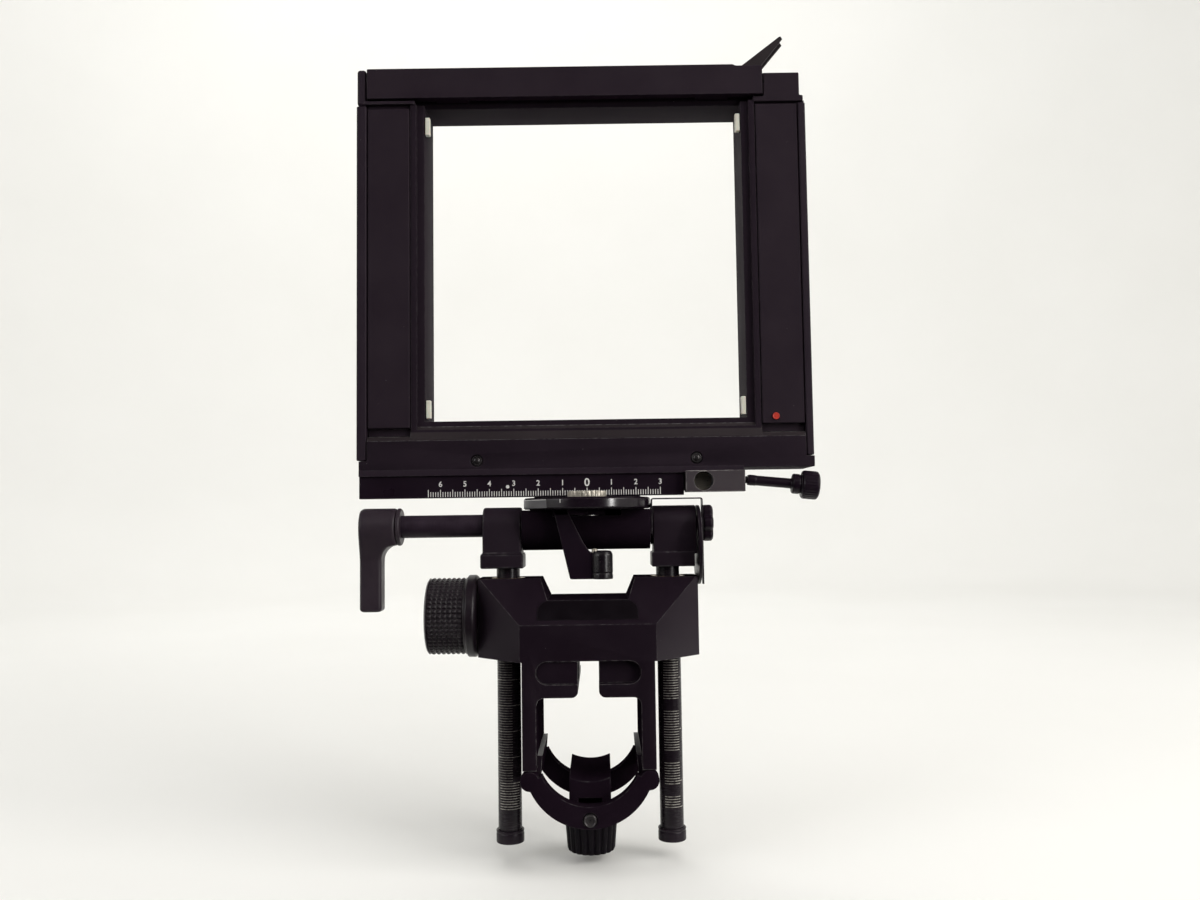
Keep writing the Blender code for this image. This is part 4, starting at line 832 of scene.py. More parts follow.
@dataclass(frozen=True)
class Filling:
    """Paint or bare metal in an engraved mark, a little uneven."""

    name: str
    colour: Colour
    thin: Colour
    roughness: float = 0.5
    metallic: float = 0.0
    uneven: float = 0.5

    def build(self) -> bpy.types.Material:
        """Makes the material: patchy colour, roughness and relief.

        Returns:
            The material.
        """
        sketch = Sketch(self.name)
        patchy = sketch.noise(self.uneven, 3.0)
        sketch.dress(Base_Color=sketch.mix(sketch.span(patchy, 0.3, 0.55), self.thin, self.colour),
                     Roughness=sketch.span(patchy, 0.3, 0.7, self.roughness + 0.1, self.roughness - 0.1),
                     Metallic=self.metallic)
        sketch.bump(patchy, 0.2, 0.01)
        return sketch.material


class Finish(Enum):
    """The finishes of the standard's pieces."""

    CASTING = BlackCoat("satin_black_casting", colour=(0.0084, 0.0044, 0.0083), cloud=(0.0110, 0.0064, 0.0107),
                        rubbed=(0.26, 0.25, 0.245), grain=0.6, depth=0.03, wear=0.6, specular=0.12)
    SLOPE = BlackCoat("satin_black_bed", colour=(0.0084, 0.0044, 0.0083), cloud=(0.0110, 0.0064, 0.0107),
                      grain=0.6, depth=0.03, wear=0.0, specular=0.12)
    MATT = BlackCoat("matt_black_casting", colour=(0.0084, 0.0046, 0.0084), cloud=(0.0108, 0.0066, 0.0106),
                     grain=0.6, depth=0.03, roughness=0.8, wear=0.2, specular=0.0)
    BLOCK = BlackCoat("satin_black_block", colour=(0.0132, 0.0082, 0.0130), cloud=(0.0168, 0.0110, 0.0164),
                      wear=0.4, specular=0.12)
    FRAME = BlackCoat("fine_grained_black_frame", grain=0.35, roughness=0.55, wear=0.35, specular=0.14)
    # Darker and more matt than the frame coat: partly painted shade for the seat's reveal under the retaining bar.
    SEAT = BlackCoat("matt_black_seat", colour=(0.0124, 0.0076, 0.0123), cloud=(0.0158, 0.0101, 0.0155),
                     grain=0.4, roughness=0.75, wear=0.2, specular=0.08)
    PANEL = BlackCoat("grained_black_panel", colour=(0.0154, 0.0096, 0.0150), cloud=(0.0204, 0.0137, 0.0193),
                      grain=0.55, depth=0.05, roughness=0.66, wear=0.35, specular=0.1)
    PLATED = BlackCoat("worn_dark_plate", colour=(0.0185, 0.0138, 0.0158), cloud=(0.0240, 0.0182, 0.0205),
                       roughness=0.5, wear=0.5, specular=0.15)
    ANODISED = BlackCoat("black_anodised_metal", colour=(0.0086, 0.0045, 0.0088), cloud=(0.0112, 0.0064, 0.0113),
                         roughness=0.32, grain=0.25, depth=0.008, wear=0.6, specular=0.18)
    RIM = BlackCoat("polished_black_disc", colour=(0.0080, 0.0046, 0.0082), cloud=(0.0100, 0.0060, 0.0101),
                    roughness=0.2, grain=0.25, depth=0.004, wear=0.6, specular=0.42)
    SOCKET = BlackCoat("lighter_black_block", colour=(0.0430, 0.0345, 0.0400), cloud=(0.0530, 0.0440, 0.0485),
                       rubbed=(0.45, 0.43, 0.41), roughness=0.45, wear=0.6, specular=0.2, patchy=0.7)
    TURNED_BLACK_Z = TurnedMetal("black_column", (0.0150, 0.0108, 0.0144), (0.0078, 0.0052, 0.0078), 2, 0.24, 0.0,
                                 0.24)
    TURNED_BLACK_X = TurnedMetal("black_shaft", (0.0280, 0.0188, 0.0280), (0.0165, 0.0102, 0.0165), 0, 0.4, 0.0,
                                 0.15)
    KNURLED = BlackCoat("knurled_black_metal", colour=(0.0082, 0.0048, 0.0078), cloud=(0.0110, 0.0068, 0.0102),
                        rubbed=(0.10, 0.092, 0.092), roughness=0.36, grain=0.3, depth=0.005, wear=0.8,
                        specular=0.34)
    PLASTIC = Moulded("moulded_black", (0.0285, 0.0202, 0.0266), (0.0240, 0.0166, 0.0230), 0.42, 0.28)
    KNOB = Moulded("moulded_black_knob", (0.0035, 0.0020, 0.0040), (0.0025, 0.0014, 0.0030), 0.45, 0.1)
    TIP = Moulded("smooth_black_tip", (0.0062, 0.0038, 0.0064), (0.0046, 0.0028, 0.0048), 0.28, 0.45)
    PLATE = Moulded("gloss_black_plate", (0.0042, 0.0026, 0.0042), (0.0032, 0.0020, 0.0032), 0.45, 0.15)
    PATCH = TurnedMetal("brushed_grey_patch", (0.13, 0.126, 0.134), (0.085, 0.081, 0.088), 2, 0.38, 0.2)
    NICKEL = TurnedMetal("bright_nickel", (0.58, 0.53, 0.45), (0.30, 0.275, 0.23), 2, 0.3, 0.5)
    STEEL_Z = TurnedMetal("bright_steel_upright", (0.56, 0.55, 0.53), (0.36, 0.35, 0.34), 2)
    STEEL_Y = TurnedMetal("bright_steel_across", (0.5, 0.49, 0.47), (0.3, 0.29, 0.28), 1)
    DARK_STEEL = TurnedMetal("blackened_steel", (0.06, 0.055, 0.056), (0.02, 0.017, 0.019), 1, 0.3, 0.6)
    BRONZE = TurnedMetal("plain_bronze", (0.34, 0.24, 0.12), (0.2, 0.135, 0.065), 2, 0.35)
    NYLON = Moulded("white_nylon", (0.69, 0.67, 0.57), (0.58, 0.565, 0.48), 0.42, 0.5, 0.15)
    WHITE = Filling("white_engraving", (0.72, 0.71, 0.69), (0.45, 0.44, 0.43))
    SILVER = Filling("silver_engraving", (0.36, 0.345, 0.31), (0.10, 0.094, 0.085), 0.34, 0.5, 1.4)
    DIM = Filling("dim_engraving", (0.19, 0.178, 0.16), (0.055, 0.051, 0.047), 0.5, 0.2, 1.4)
    RED = Filling("red_enamel", (0.46, 0.029, 0.015), (0.30, 0.019, 0.010), 0.4, 0.0, 0.9)

    def material(self) -> bpy.types.Material:
        """The finish's material, made the first time that it is asked for."""
        return bpy.data.materials.get(self.value.name) or self.value.build()

    def edge_material(self) -> bpy.types.Material:
        """The finish of rounded edges: for a black coat, lighter in patches that are partly rubbed through and
        partly painted edge highlight; the plain one for the others.

        Returns:
            The material.
        """
        if not isinstance(self.value, BlackCoat):
            return self.material()
        return bpy.data.materials.get(self.value.name + "_edge") or self.value.build(edge=True)


class Slot(Enum):
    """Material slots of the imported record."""

    PAINT = "black_paint"
    ANODISED = "black_anodised"
    PLASTIC = "black_plastic"
    STEEL = "steel"
    NYLON = "nylon"
    RED = "red_paint"


# Sub-assemblies


@dataclass
class SubAssembly:
    """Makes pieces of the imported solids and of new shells, and gives each its body and finish."""

    nodes: dict[str, bpy.types.Object]
    bodies: dict[str, list[str]]

    def body_of(self, node: str) -> str:
        """The body that carries a node."""
        return next(body for body, members in self.bodies.items() if node in members)

    def put(self, name: str, mesh: bpy.types.Mesh, finish: Finish, slot: Slot | None, body: str,
            stands_for: Sequence[str]) -> bpy.types.Object:
        """Links a mesh as a piece of the standard.

        Args:
            name: The piece's name.
            mesh: Its mesh, in place.
            finish: Its finish.
            slot: The record's material slot; not used.
            body: The body that it moves with.
            stands_for: The nodes that it replaces.

        Returns:
            The piece.
        """
        piece = placed(name, mesh)
        mesh.materials.append(finish.material())
        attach(piece, body)
        if stands_for:
            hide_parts(*stands_for)
        LOG.info("%s: %d faces, rides on %s", name, len(mesh.polygons), body)
        return piece

    def make(self, name: str, shell: Shell, finish: Finish, slot: Slot | None = None, body: str = "",
             stands_for: Sequence[str] = (), sharp: float = 42.0, closed: bool = True) -> bpy.types.Object:
        """Makes a piece of a shell, its doubles merged and its faces outward.

        Args:
            name: The piece's name.
            shell: Its points and faces.
            finish: Its finish.
            slot: The record's material slot, handed on to put.
            body: The body that it moves with; that of the first node it stands for, if left out.
            stands_for: The nodes that it replaces.
            sharp: Edges with a larger angle stay sharp, in degrees.
            closed: Whether the shell is a closed skin.

        Returns:
            The piece.
        """
        mesh = mesh_of(name, shell, closed)
        mesh.set_sharp_from_angle(angle=math.radians(sharp))
        piece = self.put(name, mesh, finish, slot, body or self.body_of(stands_for[0]), stands_for)
        if len(shell.quads):
            piece.modifiers.new("even_faces", "WEIGHTED_NORMAL").keep_sharp = True
        return piece

    def soften(self, node: str, finish: Finish, slot: Slot, edge: float = 0.35, segments: int = 2,
               angle: float = 30.0, cuts: Sequence[tuple[Callable[[bmesh.types.BMEdge], bool], float]] = (),
               ) -> bpy.types.Object:
        """Makes a piece in a solid's own shape with its edges rounded.

        Args:
            node: The solid.
            finish: The piece's finish.
            slot: The record's material slot, handed on to put.
            edge: Width of the rounding.
            segments: Steps across the rounding.
            angle: Edges with a smaller angle stay, in degrees.
            cuts: Edges to chamfer first: a test of an edge, and the chamfer's width.

        Returns:
            The piece.
        """
        mesh = bpy.data.meshes.new(node + "_shape")
        bm = bmesh.new()
        bm.from_mesh(self.nodes[node].data)
        bmesh.ops.remove_doubles(bm, verts=bm.verts, dist=2e-6)
        bmesh.ops.dissolve_limit(bm, angle_limit=math.radians(0.6), verts=bm.verts, edges=bm.edges)
        for test, width in cuts:
            chosen = [line for line in bm.edges if test(line)]
            bmesh.ops.bevel(bm, geom=chosen, offset=width * MM, offset_type="OFFSET", segments=1,
                            affect="EDGES", clamp_overlap=True)
        bmesh.ops.recalc_face_normals(bm, faces=bm.faces)
        bm.to_mesh(mesh)
        bm.free()
        mesh.shade_smooth()
        piece = self.put(node + "_finished", mesh, finish, slot, self.body_of(node), (node,))
        mesh.materials.append(finish.edge_material())
        rounding = piece.modifiers.new("rounded_edges", "BEVEL")
        # The rounded edges take the edge coat, whose lighter patches are partly wear and partly painted edge
        # highlight.
        rounding.material = 1
        rounding.width = edge * MM
        rounding.segments = segments
        rounding.limit_method = "ANGLE"
        rounding.angle_limit = math.radians(angle)
        rounding.harden_normals = True
        rounding.use_clamp_overlap = True
        return piece

    def repaint(self, piece: bpy.types.Object, finish: Finish,
                chosen: Callable[[np.ndarray, np.ndarray], np.ndarray], edge: bool = False) -> None:
        """Gives some faces of a piece another finish.

        Args:
            piece: The piece.
            finish: The finish of the chosen faces.
            chosen: Which faces take it, from their middles and their normals.
            edge: Whether they take the finish of rounded edges.
        """
        faces = piece.data.polygons
        slot = np.empty(len(faces), np.int32)
        faces.foreach_get("material_index", slot)
        piece.data.materials.append(finish.edge_material() if edge else finish.material())
        pick = chosen(rows_of(faces, "center") / MM, rows_of(faces, "normal"))
        slot = np.where(pick, len(piece.data.materials) - 1, slot)
        faces.foreach_set("material_index", slot.astype(np.int32))

    def coat(self, finish: Finish, *nodes: str) -> None:
        """Gives solids that keep their shape a finish.

        Args:
            finish: The finish.
            nodes: The solids.
        """
        for node in nodes:
            self.nodes[node].data.materials.clear()
            self.nodes[node].data.materials.append(finish.material())
            LOG.info("%s: coated with %s", node, finish.value.name)


@dataclass
class RailBearer(SubAssembly):
    """The casting on the rail, its blank plate, its column bushes and the two bails."""

    plate_wide: float = 38.2
    plate_high: float = 9.5
    plate_thick: float = 0.3
    plate_corner: tuple[float, float] = (4.2, 5.6)
    bed_half: float = 19.5
    bed_low: float = 0.9
    bed_high: float = 11.5
    bed_deep: float = 0.4
    bed_proud: float = 0.03
    slope_foot: Point = (0.0, -26.0, 39.9)
    plate_up: float = 7.1
    pocket_low: float = 17.9
    pocket_high: float = 26.3
    pocket_reach: float = 19.7
    pocket_neck: float = 4.0
    pocket_fronts: tuple[float, float] = (-25.2, -22.8)
    pocket_back: float = -20.0
    rivet_drop: float = 31.9
    rivet_radius: float = 2.4
    rivet_front: float = 26.9
    sleeve_half: float = 4.38
    sleeve_near: float = 3.2
    sleeve_far: float = 19.6
    sleeve_low: float = -32.2
    sleeve_high: float = -28.0
    upper_low: float = 47
    guide_top: float = 2
    guide_half: float = 24.9
    facet_low: float = 24

    def build(self) -> None:
        """Dresses the casting and its fittings."""
        casting = self.soften("bearer_casting", Finish.CASTING, Slot.PAINT, 0.35)
        self.repaint(casting, Finish.MATT, self.upper_faces)
        self.repaint(casting, Finish.MATT, self.guide_faces)
        # Painted light: the oblique wing facets take the lighter block coat.
        self.repaint(casting, Finish.BLOCK, self.wing_facets)
        for bail in ("front_bail", "rear_bail"):
            self.soften(bail, Finish.MATT, Slot.PAINT, 0.5, 3)
        self.name_plate()
        self.pockets()
        self.rivets()
        self.coat(Finish.BRONZE, "left_column_bush", "right_column_bush")
        self.coat(Finish.DARK_STEEL, "left_bail_pin", "right_bail_pin")
        self.coat(Finish.MATT, "clamp_cross_bar")

    def upper_faces(self, middle: np.ndarray, normal: np.ndarray) -> np.ndarray:
        """Which faces are the valley and the tops of the wings."""
        return (middle[:, 2] > self.upper_low) & (normal[:, 2] > 0.25) & (normal[:, 1] > -0.3)

    def guide_faces(self, middle: np.ndarray, normal: np.ndarray) -> np.ndarray:
        """Which faces are the guides low in the rail's channel."""
        inward = normal[:, 0] * np.sign(middle[:, 0]) < -0.4
        return inward & (middle[:, 2] < self.guide_top) & (np.abs(middle[:, 0]) < self.guide_half)

    def wing_facets(self, middle: np.ndarray, normal: np.ndarray) -> np.ndarray:
        """Which faces are the oblique facets at the ends of the wings, where light is painted."""
        oblique = (np.abs(normal[:, 0]) > 0.3) & (np.abs(normal[:, 1]) > 0.3)
        return (middle[:, 2] > self.facet_low) & oblique

    def name_plate(self) -> None:
        """A bare plate with round upper corners on a flush bed in the front slope, which rises at 45 degrees."""
        half, turn = self.plate_wide / 2, self.plate_corner
        low, high = self.plate_up - self.plate_high / 2, self.plate_up + self.plate_high / 2
        right = arc((0, 0), 1.0, 0, 90, 8) * turn + (half - turn[0], high - turn[1])
        outline = np.vstack(([(-half, low), (half, low)], right, right[::-1] * (-1, 1)))
        plate = slab(outline, PROUD, self.plate_thick, View.PLAN, 0.12)
        wide = self.bed_half
        border = [(-wide, self.bed_low), (wide, self.bed_low), (wide, self.bed_high), (-wide, self.bed_high)]
        bed = slab(border, -self.bed_deep, self.bed_proud, View.PLAN, 0.02)
        tilt = math.sqrt(0.5)
        turn_up = np.array(((1, 0, 0), (0, tilt, -tilt), (0, tilt, tilt)))
        for shell in (plate, bed):
            shell.points = shell.points @ turn_up.T + np.asarray(self.slope_foot)
        self.make("name_plate_blank", plate, Finish.PLATE, Slot.PLASTIC, stands_for=("name_plate",))
        self.make("name_plate_bed", bed, Finish.SLOPE, Slot.PAINT, "bearer")

    def pockets(self) -> None:
        """Floors, round at one end, of the two pockets beside the neck above the rail; the left one is shallow."""
        low, high = self.pocket_low, self.pocket_high
        turn = (high - low) / 2
        end = arc((self.pocket_reach - turn, low + turn), turn, -90, 90, 14)
        for (side, word), front in zip(SIDES, self.pocket_fronts):
            outline = np.vstack((end, [(self.pocket_neck, high), (self.pocket_neck, low)])) * (side, 1)
            floor = slab(outline, front, self.pocket_back, View.FRONT, 0.15)
            self.make(word + "_pocket_floor", floor, Finish.CASTING, Slot.PAINT, "bearer")

    def rivets(self) -> None:
        """Riveted ends of the cross bar, a domed disc with a turned groove on each bail, and two dark blocks round
        the bar that fill the gaps beside it in the shoe's notch with painted shade.
        """
        r, half = self.rivet_radius, self.sleeve_half
        profile = eased([(0, -1.2), (r, -1.2), (r, 0.05), (r * 0.86, 0.3), (r * 0.74, 0.05), (r * 0.6, 0.0),
                         (0, 0.22)], 0.14, 2, closed=False)
        heads, shade_blocks = [], []
        for side in (-1, 1):
            heads.append(turned(profile, (0, side * self.rivet_front, -self.rivet_drop), (0, side, 0), 40))
            start, end = sorted((side * self.sleeve_near, side * self.sleeve_far))
            shade_blocks.append(rounded_box((-half, start, self.sleeve_low), (half, end, self.sleeve_high), 0.2))
        self.make("cross_bar_rivets", heads[0] + heads[1], Finish.DARK_STEEL, Slot.STEEL, "bearer")
        # Painted shade: the two dark blocks round the bar fill the gaps beside it.
        self.make("cross_bar_sleeves", shade_blocks[0] + shade_blocks[1], Finish.MATT, Slot.STEEL, "bearer")


@dataclass
class RailClamp(SubAssembly):
    """The shoe under the rail, its spindle and its fluted knob."""

    knob_low: float = -50.2
    knob_high: float = -36.9
    knob_radius: float = 10.4
    taper: float = 1.1
    flutes: int = 20
    flute_depth: float = 0.9
    spindle_radius: float = 2.2
    spindle_low: float = -42.6
    spindle_high: float = -25.9

    def build(self) -> None:
        """Dresses the shoe and makes the spindle and the knob."""
        self.soften("clamp_shoe", Finish.MATT, Slot.PAINT, 0.4)
        rod = threads(self.spindle_radius, 0.25, 0.8, self.spindle_low, self.spindle_high)
        profile = np.vstack(([(0, self.spindle_low)], rod, [(0, self.spindle_high)]))
        self.make("clamp_spindle_threaded", turned(profile, steps=32), Finish.STEEL_Z, Slot.STEEL,
                  stands_for=("clamp_spindle",))
        self.knob()

    def knob(self) -> None:
        """The knob: a tapered turning with round ribs, whose radius loses depth * (1 - |cos(n t / 2)|)."""
        low, high = self.knob_low, self.knob_high
        bottom = self.knob_radius - self.taper
        span = high - low
        wall = np.linspace(0, 1, 18)[1:-1]
        side = np.stack((bottom + self.taper * wall, low + span * wall), axis=-1)
        corners = np.vstack(([(0, low + 1.0), (bottom - 3.4, low + 1.0), (bottom - 2.8, low),
                              (bottom - 0.5, low), (bottom, low + 0.6)], side,
                             [(self.knob_radius, high - 0.8), (self.knob_radius - 0.8, high), (0, high)]))
        profile = eased(corners, 0.4, 2, closed=False)

        def flute(h: np.ndarray, t: np.ndarray) -> np.ndarray:
            """Depth of the flutes, fading out near the knob's top."""
            fade = np.clip((high - 1.2 - h) / 1.5, 0, 1) * np.clip(h - low + 0.5, 0, 1)
            return -self.flute_depth * (1 - np.abs(np.cos(self.flutes * t / 2))) * fade

        shell = turned(profile, steps=self.flutes * 14, ripple=flute)
        self.make("clamp_knob_fluted", shell, Finish.KNOB, Slot.PLASTIC, stands_for=("clamp_knob",), sharp=60)


@dataclass
class RiseLock(SubAssembly):
    """The knurled knob on the left wing that locks the columns, and its spindle."""

    face: float = -43.6
    height: float = 41.6
    flange_radius: float = 16.2
    flange_length: float = 4.2
    radius: float = 15.1
    length: float = 19.9
    edge: float = 1.0
    dish_radius: float = 11.5
    dish: float = 0.8
    pitch: float = 2.0
    knurl: float = 0.75

    def build(self) -> None:
        """Makes the knob: rows of small pyramids, r - k (1 - min(|sin(n t / 2)|, |sin(pi h / p)|))."""
        r, long, flange = self.radius, self.length, self.flange_radius
        floor = long - self.dish
        around = round(2 * math.pi * r / self.pitch)
        start = self.flange_length + self.edge
        end = long - self.edge
        rows = max(1, round((end - start) / self.pitch))
        knurl_heights = np.linspace(start, end, rows * 8 + 1)
        body = np.stack((np.full_like(knurl_heights, r), knurl_heights), axis=-1)
        lead = eased([(3.9, 0), (flange - self.edge, 0), (flange, self.edge), (flange, self.flange_length - 0.4),
                      (flange - 0.5, self.flange_length), (r, self.flange_length + 0.3), (r, start)],
                     0.35, 2, closed=False)
        tail = eased([(r, end), (r - 0.3, long - 0.4), (r - self.edge, long), (self.dish_radius + self.dish, long),
                      (self.dish_radius, floor), (3.2, floor), (2.6, floor - 0.5), (0, floor - 0.5)],
                     0.3, 2, closed=False)

        def pyramids(h: np.ndarray, t: np.ndarray) -> np.ndarray:
            """Depth below the tops of the knurl's pyramids.

            Args:
                h: Heights along the knob.
                t: Angles round it.

            Returns:
                What the radius loses.
            """
            inside = (h >= start) & (h <= end)
            step = (end - start) / rows
            top = np.minimum(np.abs(np.sin(around * t / 2)), np.abs(np.sin(math.pi * (h - start) / step)))
            return -self.knurl * (1 - top) * inside

        base = (self.face, 0, self.height)
        knob = turned(np.vstack((lead, body, tail)), base, TO_LEFT, around * 8, pyramids)
        self.make("rise_lock_knob_knurled", knob, Finish.KNURLED, Slot.ANODISED, stands_for=("rise_lock_knob",),
                  sharp=50)
        # Painted highlight: a pale grey ring along the knob's end chamfer.
        edge = [(r - 0.25, long - 0.55), (r - 0.12, long - 0.4), (r - 0.8, long + 0.06), (r - 1.1, long - 0.05)]
        self.make("rise_lock_knob_edge", hoop(edge, base, TO_LEFT, 96), Finish.PATCH, Slot.ANODISED, "rise_lock")
        self.coat(Finish.DARK_STEEL, "rise_lock_spindle")


@dataclass
class Columns(SubAssembly):
    """The two graduated columns, their caps, the tilt blocks and the tilt scale."""

    spacing: float = 31.9
    radius: float = 4.65
    bottom: float = -45.1
    top: float = 72.0
    first_mark: float = -33.4
    marks: int = 86
    mark_width: float = 0.26
    thin_width: float = 0.2
    gaps: Line = ((3.65, 7.9), (-16.2, -12.0), (-29.0, -25.2))
    cap_radius: float = 5.5
    cap_drop: float = 1.7
    cap_height: float = 5.0
    plate_right: float = 44.8
    tilt_height: float = 77.3
    tilt_reach: float = 20.6
    tilt_long: float = 3.2
    tilt_short: float = 1.9
    tilt_half: float = 0.14

    def build(self) -> None:
        """Makes the columns and dresses what they carry."""
        for side, word in SIDES:
            self.column(side, word)
            self.soften(word + "_tilt_block", Finish.BLOCK, Slot.PAINT, 0.8, 4)
        self.left_marks()
        self.right_marks()
        self.soften("tilt_scale_plate", Finish.ANODISED, Slot.ANODISED, 0.2)
        self.tilt_marks()
        self.coat(Finish.DARK_STEEL, "tilt_pivot_pin")

    def column(self, side: int, word: str) -> None:
        """One column and its cap, both turned about the column's axis.

        Args:
            side: -1 for the left column, 1 for the right.
            word: left or right.
        """
        place = (side * self.spacing, 0, 0)
        r, bottom = self.radius, self.bottom
        rod = eased([(0, bottom), (r, bottom), (r, self.top), (0, self.top)], 0.4, 3, closed=False)
        self.make(word + "_column_turned", turned(rod, place, UP, 72), Finish.TURNED_BLACK_Z, Slot.ANODISED,
                  stands_for=(word + "_column",))
        low, wide, inner = bottom - self.cap_drop, self.cap_radius, r + 0.05
        high = low + self.cap_height
        cap = eased([(0, low + 0.3), (3.0, low + 0.3), (3.4, low), (wide, low), (wide, low + 3.6),
                     (wide - 0.25, low + 3.9), (wide, low + 4.2), (wide, high), (inner, high),
                     (inner, bottom - 0.2), (0, bottom - 0.2)], 0.45, 3, closed=False)
        self.make(word + "_column_end_cap", turned(cap, place), Finish.ANODISED, Slot.ANODISED,
                  stands_for=(word + "_column_cap",))

    def heights(self) -> np.ndarray:
        """Millimetre marks from the lowest one up."""
        return self.first_mark + np.arange(self.marks)

    def left_marks(self) -> None:
        """Marks on the outer front of the left column, longer at each centimetre and round the lowest one."""
        z = self.heights()
        index = np.arange(self.marks)
        lowest, whole = index <= 10, index % 10 == 0
        start = np.where(lowest, -140.0, -172.0)
        end = np.select((lowest & whole, lowest, whole), (-20.0, -34.0, -26.0), -70.0)
        strong = lowest | whole
        for name, chosen, width, finish in (("left_column_marks", ~strong, self.thin_width, Finish.DIM),
                                            ("left_column_lines", strong, self.mark_width, Finish.SILVER)):
            shell = ring_marks((-self.spacing, 0), self.radius + PROUD, z[chosen], width, start[chosen],
                               end[chosen])
            self.make(name, shell, finish, Slot.STEEL, "columns")

    def right_marks(self) -> None:
        """Marks across the front of the right column, in groups with plain rings between them."""
        z = self.heights()
        keep = np.ones(self.marks, bool)
        for low, high in self.gaps:
            keep &= (z < low) | (z > high)
        start = np.full(self.marks, -126.0)
        end = np.where(np.arange(self.marks) % 10 == 0, -26.0, -46.0)
        shell = ring_marks((self.spacing, 0), self.radius + PROUD, z[keep], self.mark_width * 1.15, start[keep],
                           end[keep])
        self.make("right_column_marks", shell, Finish.SILVER, Slot.STEEL, "columns")

    def tilt_marks(self) -> None:
        """Degree marks on the outer face of the tilt scale: short radial bars, longer at each ten degrees."""
        degrees = np.arange(-30, 31, 2.5)
        t = np.radians(degrees - 90)[:, None, None]
        length = np.where(degrees % 10 == 0, self.tilt_long, self.tilt_short)[:, None, None]
        r = self.tilt_reach - length * np.array((0.0, 1.0))[None, :, None]
        across = self.tilt_half * np.array((-1.0, 1.0))[None, None, :]
        y = r * np.cos(t) - across * np.sin(t)
        z = self.tilt_height + r * np.sin(t) + across * np.cos(t)
        points = np.stack(np.broadcast_arrays(self.plate_right + PROUD, y, z), axis=-1)
        self.make("tilt_scale_marks", patches(points), Finish.WHITE, Slot.STEEL, "columns")


